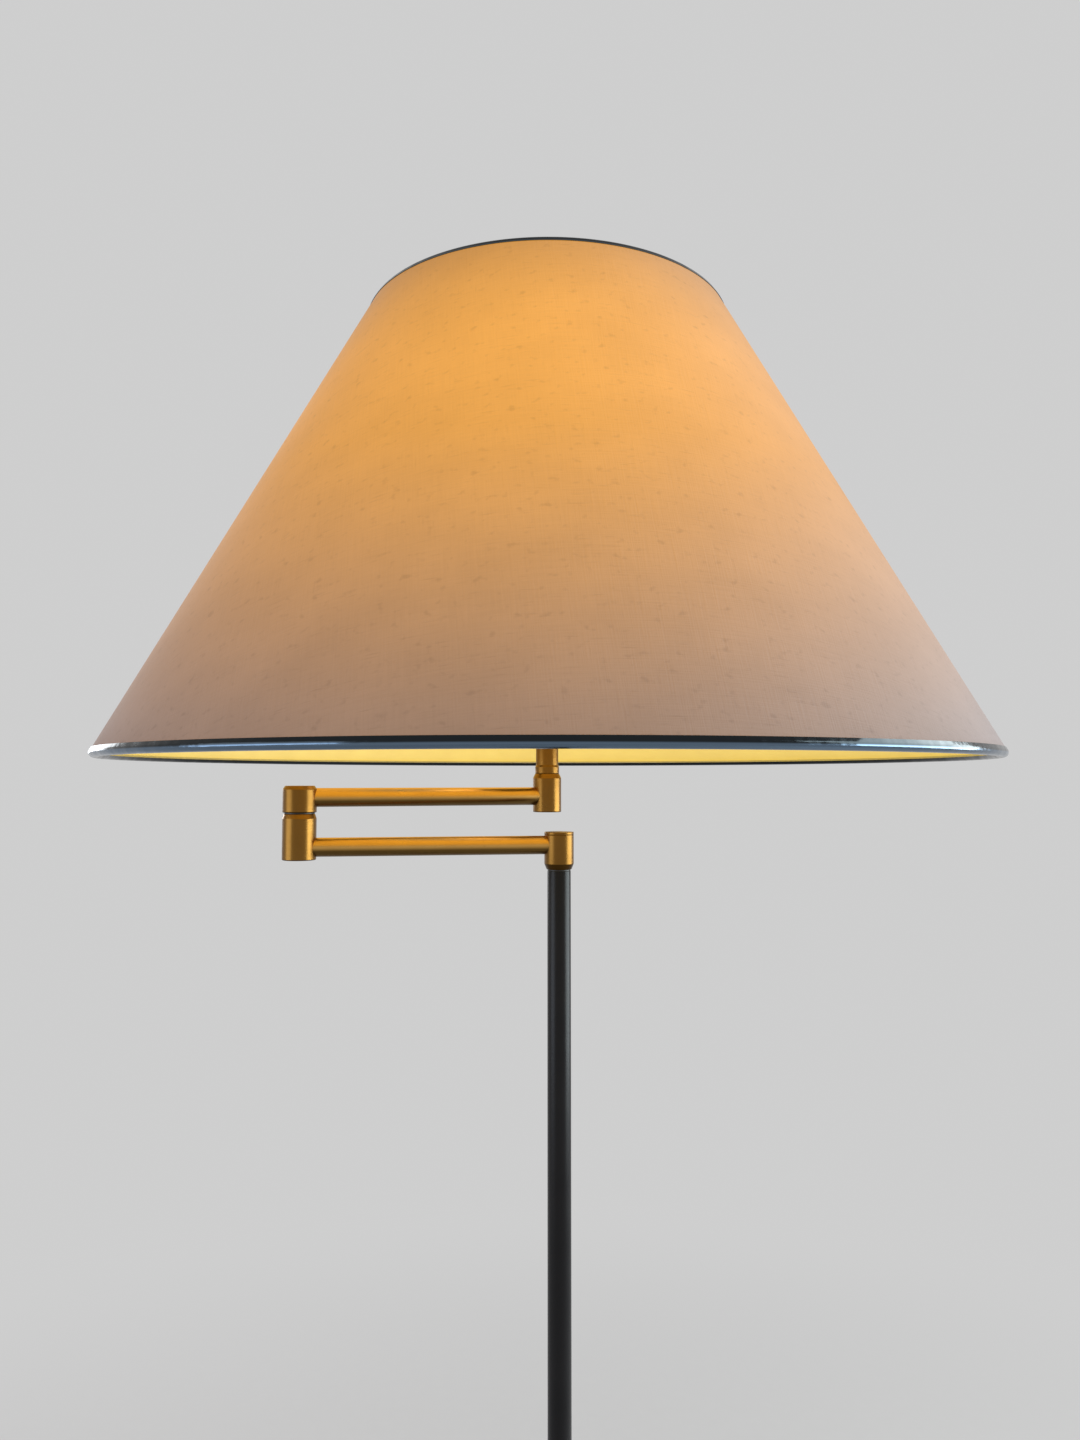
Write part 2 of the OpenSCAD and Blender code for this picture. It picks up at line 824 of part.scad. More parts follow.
module stem_nipple() {
    color(steel)
        at_shade_axis()
            tube(stem_nipple_z0, socket_z + socket_hub_h, stem_nipple_r, lead_bore_r);
}

module stem() {
    color(brass)
        at_shade_axis()
            difference() {
                union() {
                    hole(end_z1, stem_z1, stem_d / 2);
                    hole(end_z1, end_z1 + stem_foot_h, stem_foot_r);
                }
                hole(end_z1 - cut, stem_z1 + cut, stem_nipple_r + fit_clear);
            }
}

module upper_arm_lead() {
    color("#6b5a2c")
        upper_arm() {
            hole(lead_meet_high_z + lead_gap, upper_rod_z - lead_bend_r, lead_r);
            lead_bend(upper_rod_z, 1, lead_bend_r);
            lead_run(lead_bend_r, arm_reach - lead_bend_r, upper_rod_z);
            translate([arm_reach, 0, 0]) {
                rotate([0, 0, 180])
                    lead_bend(upper_rod_z, -1, lead_bend_r);
                hole(upper_rod_z + lead_bend_r, body_z, lead_r);
            }
        }
}

// ---------- harp ----------

module harp_saddle() {
    arm_z = stem_z1 + saddle_arm_h - tongue_h;
    color(brass)
        at_shade_axis()
            difference() {
                union() {
                    translate([-saddle_half_w, -saddle_w / 2, stem_z1])
                        cube([2 * saddle_half_w, saddle_w, saddle_t]);
                    for (side = [0, 180])
                        rotate([0, 0, side])
                            translate([saddle_half_w - saddle_t, 0, 0]) {
                                translate([0, -saddle_w / 2, stem_z1])
                                    cube([saddle_t, saddle_w, arm_z - stem_z1]);
                                translate([0, -tongue_w / 2, stem_z1])
                                    cube([saddle_t, tongue_w, saddle_arm_h]);
                            }
                }
                hole(stem_z1 - cut, saddle_z1 + cut, stem_nipple_r + fit_clear);
            }
}

// an arc of the harp's wire in the XY plane, from angle a0 onwards
module wire_arc(centre, r, a0, sweep) {
    translate(centre)
        rotate([0, 0, a0])
            rotate_extrude(angle = sweep)
                translate([r, 0])
                    circle(r = wire_r);
}

// a straight stretch of the harp's wire in the XY plane, leaning right of +Y by lean, that
// reaches into the bends before and after it by lap0 and lap1
module wire_run(start, lean, l, lap0, lap1) {
    translate(start)
        rotate([0, 0, -lean])
            rotate([-90, 0, 0])
                translate([0, 0, -lap0])
                    cylinder(h = l + lap0 + lap1, r = run_r);
}

// one side of the harp in the XY plane, with Y up from the wire's foot
module harp_side() {
    foot_end = [foot_x, foot_straight];
    flank = harp_half_w - foot_x - (foot_arc_r + flank_arc_r) * (1 - cos(splay));
    run_l = flank / sin(splay);
    run_start = foot_end + foot_arc_r * [1 - cos(splay), sin(splay)];
    run_end = run_start + run_l * [sin(splay), cos(splay)];
    side_y = run_end[1] + flank_arc_r * sin(splay);
    shoulder_y = harp_wire_z - foot_z - shoulder_arc_r;
    wire_run([foot_x, 0], 0, foot_straight, 0, bend_lap);
    wire_arc(foot_end + [foot_arc_r, 0], foot_arc_r, 180 - splay, splay);
    wire_run(run_start, splay, run_l, bend_lap, bend_lap);
    wire_arc(run_end + flank_arc_r * [-cos(splay), sin(splay)], flank_arc_r, -splay, splay);
    wire_run([harp_half_w, side_y], 0, shoulder_y - side_y, bend_lap, bend_lap);
    wire_arc([shoulder_x, shoulder_y], shoulder_arc_r, 0, 90);
}

module harp() {
    color(brass)
        at_shade_axis() {
            translate([0, 0, foot_z])
                for (side = [0, 180])
                    rotate([0, 0, side])
                        rotate([90, 0, 0])
                            harp_side();
            hole(harp_top_z - plate_t, harp_top_z, plate_d / 2);
            hole(harp_top_z - plate_t, harp_top_z + stud_h, stud_d / 2);
        }
}

module harp_ferrules() {
    color(brass)
        at_shade_axis()
            for (side = [-1, 1])
                translate([side * foot_x, 0, 0])
                    tube(foot_z - ferrule_l / 2, foot_z + ferrule_l / 2, wire_r + 1.1, wire_r + 0.15);
}

module finial() {
    ball_r = finial_d / 2;
    ball_z = finial_h - ball_r;
    foot_r = hub_d / 2 - 2.5;
    waist_r = stud_d / 2 + 1.5;
    color(brass)
        at_shade_axis()
            translate([0, 0, finial_z])
                difference() {
                    rotate_extrude()
                        polygon(concat(
                            [[0, 0], [foot_r, 0], [foot_r + 0.5, 1], [foot_r - 0.5, 2.5], [waist_r, 3.5]],
                            arc(0, ball_z, ball_r, -acos(waist_r / ball_r), 90, 14)
                        ));
                    hole(-cut, stud_h - hub_t, stud_d / 2 + fit_clear);
                }
}

// ---------- socket and bulb ----------

// the outer or inner skin of the socket's cap, in its own section
function cap_dome(inset) = [
    for (i = [0:8])
        let (a = 90 * i / 8)
            [
                socket_hub_d / 2 + (socket_r - inset - socket_hub_d / 2) * sin(a),
                socket_hub_h + inset + (socket_cap_h - cap_rim_h - socket_hub_h - inset) * (1 - cos(a))
            ]
];

module socket_cap() {
    outer = cap_dome(0);
    inner = cap_dome(socket_wall);
    bore_r = stem_nipple_r + fit_clear;
    color(brass)
        at_shade_axis()
            translate([0, 0, socket_z])
                rotate_extrude()
                    polygon(concat(
                        [[bore_r, 0], [socket_hub_d / 2, 0]],
                        outer,
                        [[socket_r, socket_cap_h], [socket_r - socket_wall, socket_cap_h]],
                        [for (i = [8:-1:0]) inner[i]],
                        [[bore_r, socket_hub_h + socket_wall]]
                    ));
}

// a thin upright sleeve with a hole for the key's shaft
module keyed_sleeve(z0, z1, outer_r, t) {
    difference() {
        tube(z0, z1, outer_r, outer_r - t);
        translate([0, 0, key_z])
            rotate([90, 0, 0])
                cylinder(h = outer_r + cut, r = key_r + key_room);
    }
}

module socket_shell() {
    color(brass)
        at_shade_axis()
            keyed_sleeve(shell_z0, socket_z + socket_h, shell_r, socket_wall);
}

module socket_sleeve() {
    color("#8a6f4a")
        at_shade_axis()
            keyed_sleeve(body_z, socket_z + socket_h - shell_inset, sleeve_r, sleeve_t);
}

module socket_body() {
    color("#2a2523")
        at_shade_axis()
            difference() {
                hole(body_z, body_top, body_r);
                translate([0, -body_r + key_seat, key_z])
                    rotate([90, 0, 0])
                        cylinder(h = body_r + cut, r = key_r + run_clear);
            }
}

module screw_shell() {
    color("#c7b27a")
        at_shade_axis()
            tube(body_top, socket_z + socket_h - 2 * shell_inset, screw_in_r + screw_shell_t, screw_in_r);
}

module centre_contact() {
    color(brass)
        at_shade_axis()
            hole(body_top, tip_z, contact_d / 2);
}

module switch_key() {
    // the shaft ends short of its seat's floor
    inner_y = body_r - key_seat + 0.3;
    outer_y = socket_r + key_reach;
    color("#1d1a18")
        at_shade_axis()
            translate([0, 0, key_z])
                rotate([90, 0, 0]) {
                    translate([0, 0, inner_y])
                        cylinder(h = outer_y - knob_t / 2 - inner_y, r = key_r);
                    translate([0, 0, outer_y - knob_t])
                        rotate_extrude()
                            polygon([
                                [0, 0], [knob_d / 2 - 1.5, 0], [knob_d / 2, 1.5],
                                [knob_d / 2, knob_t - 1], [knob_d / 2 - 1, knob_t], [0, knob_t]
                            ]);
                }
}

module bulb_cap() {
    thread_z1 = bulb_cap_h - 3;
    turns = 5;
    steps = 4 * turns;
    color("#c9c4b4")
        at_shade_axis()
            translate([0, 0, tip_z])
                difference() {
                    rotate_extrude()
                        polygon(concat(
                            [[0, cap_skirt_z], [bulb_cap_d / 2 - 2, cap_skirt_z]],
                            [for (i = [0:steps])
                                [
                                    bulb_cap_d / 2 - thread_depth * (1 + cos(i * 90)) / 2,
                                    cap_floor_z + (thread_z1 - cap_floor_z) * i / steps
                                ]],
                            [[bulb_cap_d / 2 - thread_depth, bulb_cap_h], [0, bulb_cap_h]]
                        ));
                    hole(cap_floor_z, bulb_cap_h + cut, cap_in_r);
                }
}

module bulb_tip() {
    color("#26221f")
        at_shade_axis()
            translate([0, 0, tip_z])
                rotate_extrude()
                    polygon([[0, 0], [3.5, 0], [4.5, 1], [bulb_cap_d / 2 - 3, cap_skirt_z], [0, cap_skirt_z]]);
}

// the bulb's outline above its tip, drawn in by t for the inside of the glass
function bulb_outline(t) =
    let (
        a0 = -42,
        join = [globe_r * cos(a0), globe_z + globe_r * sin(a0)],
        span = join[1] - neck_z,
        end_slope = span * tan(-a0)
    )
    concat(
        [[bulb_neck_d / 2 - t, glass_foot_z], [bulb_neck_d / 2 - t, bulb_cap_h + 0.3]],
        [for (i = [0:8]) [ease(neck_r, join[0], end_slope, i / 8) - t, neck_z + span * i / 8]],
        [for (i = [1:15])
            let (a = a0 + (90 - a0) * i / 15) [(globe_r - t) * cos(a), globe_z + (globe_r - t) * sin(a)]]
    );

module bulb_glass() {
    outer = bulb_outline(0);
    inner = bulb_outline(glass_t);
    color("#fff6dc")
        at_shade_axis()
            translate([0, 0, tip_z])
                rotate_extrude()
                    polygon(concat(outer, [for (i = [len(inner) - 1:-1:0]) inner[i]]));
}

// the glass mount, its two support wires and the filament between them
module bulb_filament() {
    mount_r = 3;
    mount_z1 = globe_z - 22;
    wire_d = 0.8;
    wire_z0 = mount_z1 - 1;
    spread = 9;
    coil_d = 1.6;
    wire_x = mount_r - wire_d;
    wire_rise = globe_z - wire_z0;
    color("#e9c46a")
        at_shade_axis()
            translate([0, 0, tip_z]) {
                hole(cap_floor_z, glass_foot_z - 1, cap_in_r - 0.3);
                hole(cap_floor_z, mount_z1, mount_r);
                for (side = [-1, 1])
                    translate([side * wire_x, 0, wire_z0])
                        rotate([0, side * atan2(spread - wire_x, wire_rise), 0])
                            cylinder(h = norm([spread - wire_x, wire_rise]), d = wire_d);
                translate([-spread, 0, globe_z])
                    rotate([0, 90, 0])
                        cylinder(h = 2 * spread, d = coil_d);
            }
}

// ---------- shade ----------

// a band of the shade's wall between two distances from the roll's centre line
module shade_wall(n0, n1) {
    rotate_extrude($fn = 180)
        polygon([on_shade(0, n0), on_shade(0, n1), on_shade(slant, n1), on_shade(slant, n0)]);
}

module shade_fabric() {
    color(linen)
        at_shade_axis()
            shade_wall(face_n - fabric_t, face_n);
}

module shade_liner() {
    color(lining)
        at_shade_axis()
            shade_wall(face_n - stack_t, face_n - fabric_t - seat);
}

module wire_ring(s) {
    rotate_extrude($fn = 180)
        translate(on_shade(s, ring_n))
            circle(r = ring_r, $fn = 32);
}

module shade_top_ring() {
    color(steel)
        at_shade_axis()
            wire_ring(slant);
}

module shade_bottom_ring() {
    color(steel)
        at_shade_axis()
            wire_ring(0);
}

// the round part of a trim's section at radius r: s_edge is where the roll's centre lies, and
// way is the direction from there onto the fabric, 1 up or -1 down
function roll(s_edge, way, r) = [
    for (i = [0:roll_steps])
        let (a = 90 + way * 180 * i / roll_steps)
            on_shade(s_edge + r * cos(a), r * sin(a))
];

// a rolled trim round one edge of the shade
module rolled_trim(s_edge, way) {
    inner_r = bead_r - trim_t;
    face_s = s_edge + way * trim_face;
    lip_s = s_edge + way * trim_lip;
    inner = roll(s_edge, way, inner_r);
    rotate_extrude($fn = 180)
        polygon(concat(
            [on_shade(face_s, bead_r)],
            roll(s_edge, way, bead_r),
            [on_shade(lip_s, -bead_r), on_shade(lip_s, -inner_r)],
            [for (i = [roll_steps:-1:0]) inner[i]],
            [on_shade(face_s, inner_r)]
        ));
}

// one arm of the spider, of radius r, from the hub towards the top ring and short of it by gap
module spider_arm(r, gap) {
    arm_z = hub_z + spider_wire_d / 2 + face_gap;
    ring_at = on_shade(slant, ring_n);
    arm_start = hub_d / 2 - 2;
    lift = atan2(ring_at[1] - arm_z, ring_at[0] - arm_start);
    translate([arm_start, 0, arm_z])
        rotate([0, 90 - lift, 0])
            cylinder(h = norm(ring_at - [arm_start, arm_z]) - gap, r = r);
}

// each arm of the spider at its place round the axis
module round_spider() {
    for (i = [0:spider_arms - 1])
        rotate([0, 0, 90 + 360 / spider_arms * i])
            children();
}

module shade_top_trim() {
    color(gunmetal)
        at_shade_axis()
            difference() {
                rolled_trim(slant, -1);
                round_spider()
                    spider_arm(spider_wire_d / 2 + arm_notch, 0);
            }
}

module shade_bottom_trim() {
    color(gunmetal)
        at_shade_axis()
            rolled_trim(0, 1);
}

module shade_spider() {
    color(brass)
        at_shade_axis() {
            tube(hub_z, hub_z + hub_t, hub_d / 2, hub_bore_r);
            round_spider()
                spider_arm(spider_wire_d / 2, ring_r + seat);
        }
}

base_felt();
base_weight();
base_cover();
base_nipple();
base_washer();
base_nut();
cord_bushing();
terminal_block();
terminal_screws();
pole_collar();
pole_foot_insert();
pole_lower();
pole_coupling();
pole_upper();
pole_pivot();
pole_pivot_nut();
pole_lead();
pole_thrust_washer();
pole_knuckle();
pole_wave_washer();
pole_knuckle_cap();
lower_rod();
elbow_lower_knuckle();
elbow_bottom_cap();
lower_arm_lead();
elbow_thrust_washer();
elbow_upper_knuckle();
elbow_top_cap();
elbow_pivot();
elbow_wave_washer();
elbow_pivot_nut();
upper_rod();
end_knuckle();
end_knuckle_cap();
stem_nipple();
stem();
upper_arm_lead();
harp_saddle();
harp();
harp_ferrules();
finial();
socket_cap();
socket_shell();
socket_sleeve();
socket_body();
screw_shell();
centre_contact();
bulb_cap();
bulb_tip();
bulb_glass();
bulb_filament();
switch_key();
shade_fabric();
shade_liner();
shade_top_ring();
shade_bottom_ring();
shade_top_trim();
shade_bottom_trim();
shade_spider();
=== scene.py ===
# Swing-arm bridge floor lamp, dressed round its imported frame.
# Lengths are in metres, +Z is up, and the origin is under the base on the pole's axis.
import math

import bmesh
import bpy
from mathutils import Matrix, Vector


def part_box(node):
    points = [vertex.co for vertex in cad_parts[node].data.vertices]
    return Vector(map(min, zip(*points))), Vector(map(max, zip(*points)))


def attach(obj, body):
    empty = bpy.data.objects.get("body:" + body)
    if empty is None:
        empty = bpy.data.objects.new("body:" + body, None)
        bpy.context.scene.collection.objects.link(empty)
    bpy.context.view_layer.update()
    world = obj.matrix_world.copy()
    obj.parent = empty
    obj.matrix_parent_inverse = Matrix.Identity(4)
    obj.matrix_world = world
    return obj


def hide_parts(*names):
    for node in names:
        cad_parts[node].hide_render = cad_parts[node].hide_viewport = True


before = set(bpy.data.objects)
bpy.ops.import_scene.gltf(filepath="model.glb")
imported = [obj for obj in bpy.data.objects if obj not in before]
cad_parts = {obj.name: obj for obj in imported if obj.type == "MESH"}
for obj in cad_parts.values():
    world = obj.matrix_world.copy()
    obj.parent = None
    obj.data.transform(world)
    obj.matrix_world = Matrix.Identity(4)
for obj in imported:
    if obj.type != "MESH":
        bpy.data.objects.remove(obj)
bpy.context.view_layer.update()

# ---------- camera ----------
# The lamp is seen from just under the shade's middle, a little from its left, close up.
bpy.ops.object.camera_add(
    location=(-0.0988, -0.5577, 1.2098),
    rotation=(math.radians(93.23), 0, math.radians(-9)),
)
camera = bpy.context.object
camera.name = "camera"
camera.data.sensor_fit = "VERTICAL"
camera.data.sensor_height = 36
camera.data.lens = 25.9
camera.data.clip_start = 0.01
bpy.context.scene.camera = camera
bpy.context.scene.view_settings.view_transform = "Standard"

# ---------- floor ----------
# A wide, pale, matt studio floor. It keeps the lamp's shadow and fades into the backdrop, and
# its underside is clear, so the lamp can be looked at from below.


def add_node(tree, kind, inputs=None, **settings):
    """Adds a shader node. Each input is a value, or another node's output to wire in."""
    node = tree.nodes.new(kind)
    for name, value in settings.items():
        setattr(node, name, value)
    for name, value in (inputs or {}).items():
        if isinstance(value, bpy.types.NodeSocket):
            tree.links.new(value, node.inputs[name])
        else:
            node.inputs[name].default_value = value
    return node


def reckon(tree, operation, *values):
    """One Math node on its values. Returns its output."""
    return add_node(tree, "ShaderNodeMath", dict(enumerate(values)), operation=operation).outputs[0]


def new_finish(name):
    """A material with a Principled shader. Returns the material, its tree and the shader."""
    finish = bpy.data.materials.new(name)
    finish.use_nodes = True
    return finish, finish.node_tree, finish.node_tree.nodes["Principled BSDF"]


def seen_directly(tree):
    """1 for what the camera, a reflection or a clear piece shows, and 0 for light on pieces."""
    path = add_node(tree, "ShaderNodeLightPath").outputs
    straight = reckon(tree, "MAXIMUM", path["Is Camera Ray"], path["Is Glossy Ray"])
    return reckon(tree, "MAXIMUM", straight, path["Is Transmission Ray"])


backdrop_colour = (0.62, 0.62, 0.62, 1)
floor_r = 60.0
fade_start = 0.5
fade_end = 2.4

bpy.ops.object.select_all(action="DESELECT")
bpy.ops.mesh.primitive_circle_add(vertices=96, radius=floor_r, fill_type="NGON")
floor = bpy.context.object
floor.name = "studio_floor"
floor_finish, tree, shader = new_finish("studio_floor")
place = add_node(tree, "ShaderNodeTexCoord").outputs["Object"]
grain = add_node(tree, "ShaderNodeTexNoise", {"Vector": place, "Scale": 40.0})
floor_tone = add_node(tree, "ShaderNodeMix", {0: grain.outputs["Fac"]}, data_type="RGBA")
floor_tone.inputs["A"].default_value = (0.51, 0.47, 0.45, 1)
floor_tone.inputs["B"].default_value = (0.54, 0.50, 0.48, 1)
tree.links.new(floor_tone.outputs["Result"], shader.inputs["Base Color"])
shader.inputs["Roughness"].default_value = 0.9
shader.inputs["Specular IOR Level"].default_value = 0.1
away = add_node(tree, "ShaderNodeVectorMath", {0: place}, operation="LENGTH").outputs["Value"]
fade = add_node(
    tree,
    "ShaderNodeMapRange",
    {"Value": away, "From Min": fade_start, "From Max": fade_end},
    interpolation_type="SMOOTHSTEP",
)
faded = reckon(tree, "MULTIPLY", fade.outputs["Result"], seen_directly(tree))
haze = add_node(tree, "ShaderNodeEmission", {"Color": backdrop_colour})
mixed = add_node(
    tree, "ShaderNodeMixShader", {0: faded, 1: shader.outputs[0], 2: haze.outputs[0]}
)
underside = add_node(tree, "ShaderNodeNewGeometry").outputs["Backfacing"]
clear = add_node(tree, "ShaderNodeBsdfTransparent")
one_way = add_node(
    tree, "ShaderNodeMixShader", {0: underside, 1: mixed.outputs[0], 2: clear.outputs[0]}
)
tree.links.new(one_way.outputs[0], tree.nodes["Material Output"].inputs["Surface"])
floor.data.materials.append(floor_finish)

# ---------- light ----------
# A very large cool soft box at the right, a weaker one at the left and one behind. The world
# gives the even rest, and shows as a pale backdrop.


def soft_box(name, place, aim, size, power, colour):
    """A square area light at place that faces aim."""
    bpy.ops.object.light_add(type="AREA", location=place)
    lamp = bpy.context.object
    lamp.name = name
    lamp.rotation_euler = (Vector(aim) - Vector(place)).to_track_quat("-Z", "Y").to_euler()
    lamp.data.shape = "SQUARE"
    lamp.data.size = size
    lamp.data.energy = power
    lamp.data.color = colour


mid_lamp = (0, 0, 1.15)
soft_box("box_right", (2.3, -0.35, 1.7), mid_lamp, 2.2, 116, (0.85, 0.97, 1.0))
soft_box("box_left", (-2.2, -0.6, 1.5), mid_lamp, 1.6, 24, (0.76, 0.86, 1.0))
soft_box("box_behind", (-1.2, 2.3, 2.0), mid_lamp, 1.6, 32, (0.92, 0.96, 1.0))

world = bpy.data.worlds.new("studio_air")
bpy.context.scene.world = world
world.use_nodes = True
tree = world.node_tree
tree.nodes.clear()
ambient = add_node(tree, "ShaderNodeBackground", {"Color": (0.30, 0.31, 0.32, 1)})
backdrop = add_node(tree, "ShaderNodeBackground", {"Color": backdrop_colour})
air = add_node(
    tree,
    "ShaderNodeMixShader",
    {0: seen_directly(tree), 1: ambient.outputs[0], 2: backdrop.outputs[0]},
)
add_node(tree, "ShaderNodeOutputWorld", {"Surface": air.outputs[0]})

# ---------- base cover ----------
# A spun steel cover over the weight, sprayed in satin black lacquer. The collar clamps its
# flat crown to the weight, and its rim stands on the felt.


def start_line(name, x, y, z):
    """A new piece that is one vertex, in edit mode, ready to be extruded."""
    bpy.ops.object.select_all(action="DESELECT")
    bpy.ops.mesh.primitive_plane_add(size=0.001, location=(x, y, z))
    piece = bpy.context.object
    piece.name = piece.data.name = name
    bpy.ops.object.transform_apply(location=True)
    bpy.ops.object.mode_set(mode="EDIT")
    bpy.ops.mesh.merge(type="CENTER")
    return piece


def extrude_to(points):
    """Extrudes the selected vertex from the first point through the others."""
    for here, there in zip(points, points[1:]):
        step = Vector(there) - Vector(here)
        bpy.ops.mesh.extrude_region_move(TRANSFORM_OT_translate={"value": step})


def use_modifier(piece, kind, **settings):
    """Adds a modifier to the piece and applies it."""
    modifier = piece.modifiers.new(kind.lower(), kind)
    for name, value in settings.items():
        setattr(modifier, name, value)
    bpy.context.view_layer.objects.active = piece
    bpy.ops.object.modifier_apply(modifier=modifier.name)


def smooth(piece, angle=35):
    """Shades the piece smooth, apart from edges sharper than the angle in degrees."""
    bpy.ops.object.select_all(action="DESELECT")
    piece.select_set(True)
    bpy.context.view_layer.objects.active = piece
    bpy.ops.object.shade_smooth_by_angle(angle=math.radians(angle))


def turn(name, outline, centre=(0, 0), steps=128, bevel=0.0, crease=28):
    """Turns an outline of (radius, height) points round the upright axis through centre.

    Edges sharper than crease, in degrees, get the bevel. A crease of 20 or less also keeps
    every corner of the outline crisp.
    """
    points = [(centre[0] + r, centre[1], z) for r, z in outline]
    piece = start_line(name, *points[0])
    extrude_to(points)
    bpy.ops.mesh.select_all(action="SELECT")
    bpy.ops.mesh.spin(
        steps=steps, angle=math.tau, center=(centre[0], centre[1], 0), axis=(0, 0, 1)
    )
    bpy.ops.mesh.select_all(action="SELECT")
    bpy.ops.mesh.remove_doubles(threshold=2e-6)
    bpy.ops.mesh.normals_make_consistent(inside=False)
    bpy.ops.object.mode_set(mode="OBJECT")
    if bevel:
        use_modifier(
            piece,
            "BEVEL",
            width=bevel,
            segments=3,
            limit_method="ANGLE",
            angle_limit=math.radians(crease),
        )
    smooth(piece, 35 if crease > 20 else 5)
    return piece


def arc_points(centre_r, centre_z, radius, start, end, steps):
    """Points (radius, height) on an arc from the start angle to the end angle, in degrees."""
    angles = [math.radians(start + (end - start) * i / steps) for i in range(steps + 1)]
    return [(centre_r + radius * math.cos(a), centre_z + radius * math.sin(a)) for a in angles]


def ride_for(piece, body, slot, *nodes):
    """The piece moves with the body and stands for the nodes. The slot is not used."""
    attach(piece, body)
    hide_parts(*nodes)


def black_lacquer():
    """Satin black lacquer: a faint orange peel, soft dust and a slightly uneven gloss."""
    finish, tree, shader = new_finish("black_lacquer")
    place = add_node(tree, "ShaderNodeTexCoord").outputs["Object"]
    peel = add_node(tree, "ShaderNodeTexNoise", {"Vector": place, "Scale": 900.0, "Detail": 2.0})
    cloud = add_node(tree, "ShaderNodeTexNoise", {"Vector": place, "Scale": 35.0, "Detail": 5.0})
    tone = add_node(tree, "ShaderNodeMix", {0: cloud.outputs["Fac"]}, data_type="RGBA")
    tone.inputs["A"].default_value = (0.004, 0.004, 0.005, 1)
    tone.inputs["B"].default_value = (0.010, 0.009, 0.010, 1)
    gloss = add_node(
        tree, "ShaderNodeMapRange", {"Value": cloud.outputs["Fac"], "To Min": 0.24, "To Max": 0.38}
    )
    bump = add_node(
        tree, "ShaderNodeBump", {"Height": peel.outputs["Fac"], "Strength": 0.25, "Distance": 0.0002}
    )
    tree.links.new(tone.outputs["Result"], shader.inputs["Base Color"])
    tree.links.new(gloss.outputs["Result"], shader.inputs["Roughness"])
    tree.links.new(bump.outputs["Normal"], shader.inputs["Normal"])
    shader.inputs["Specular IOR Level"].default_value = 0.2
    return finish


lacquer = black_lacquer()
low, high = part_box("base_cover")
base_r = high.x
base_foot = low.z
base_crown = high.z
shoulder_r = 0.008
rim_z = 0.0145
crown_r = 0.021
crown_run = 0.004
crown_dip = 0.0002
shoulder_sweep = 84
sheet_t = 0.0012
cover_hole_r = 0.0051


def cover_skin(inset):
    """The cover's section from its foot to the edge of its crown, inset from the outside."""
    return (
        [(base_r - inset, base_foot)]
        + arc_points(base_r - shoulder_r, rim_z, shoulder_r - inset, 0, shoulder_sweep, 14)
        + [(crown_r + crown_run, base_crown - inset - crown_dip), (crown_r, base_crown - inset)]
    )


hole_edge = [(cover_hole_r, base_crown), (cover_hole_r, base_crown - sheet_t)]
section = cover_skin(0) + hole_edge + cover_skin(sheet_t)[::-1]
cover = turn("black_base", section + section[:1], steps=192)
cover.data.materials.append(lacquer)
ride_for(cover, "stand", "black_lacquer", "base_cover")

# ---------- pole ----------
# Two thin steel tubes in the same lacquer, pushed together over a hidden sleeve. Only a fine
# line shows where they meet. The foot stands in the collar and the pivot is set in the top.
pole_wall = 0.001
tube_edge = 0.0003


def tube_section(outer_r, inner_r, foot_z, head_z):
    """The closed section of a tube's wall."""
    corners = [(outer_r, foot_z), (outer_r, head_z), (inner_r, head_z), (inner_r, foot_z)]
    return corners + corners[:1]


for node in ("pole_lower", "pole_upper"):
    low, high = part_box(node)
    section = tube_section(high.x, high.x - pole_wall, low.z, high.z)
    tube = turn("black_" + node, section, bevel=tube_edge)
    tube.data.materials.append(lacquer)
    ride_for(tube, "stand", "black_lacquer", node)

# ---------- collar ----------
# A turned brass collar at the pole's foot. It covers the nut thread and centres the pole.


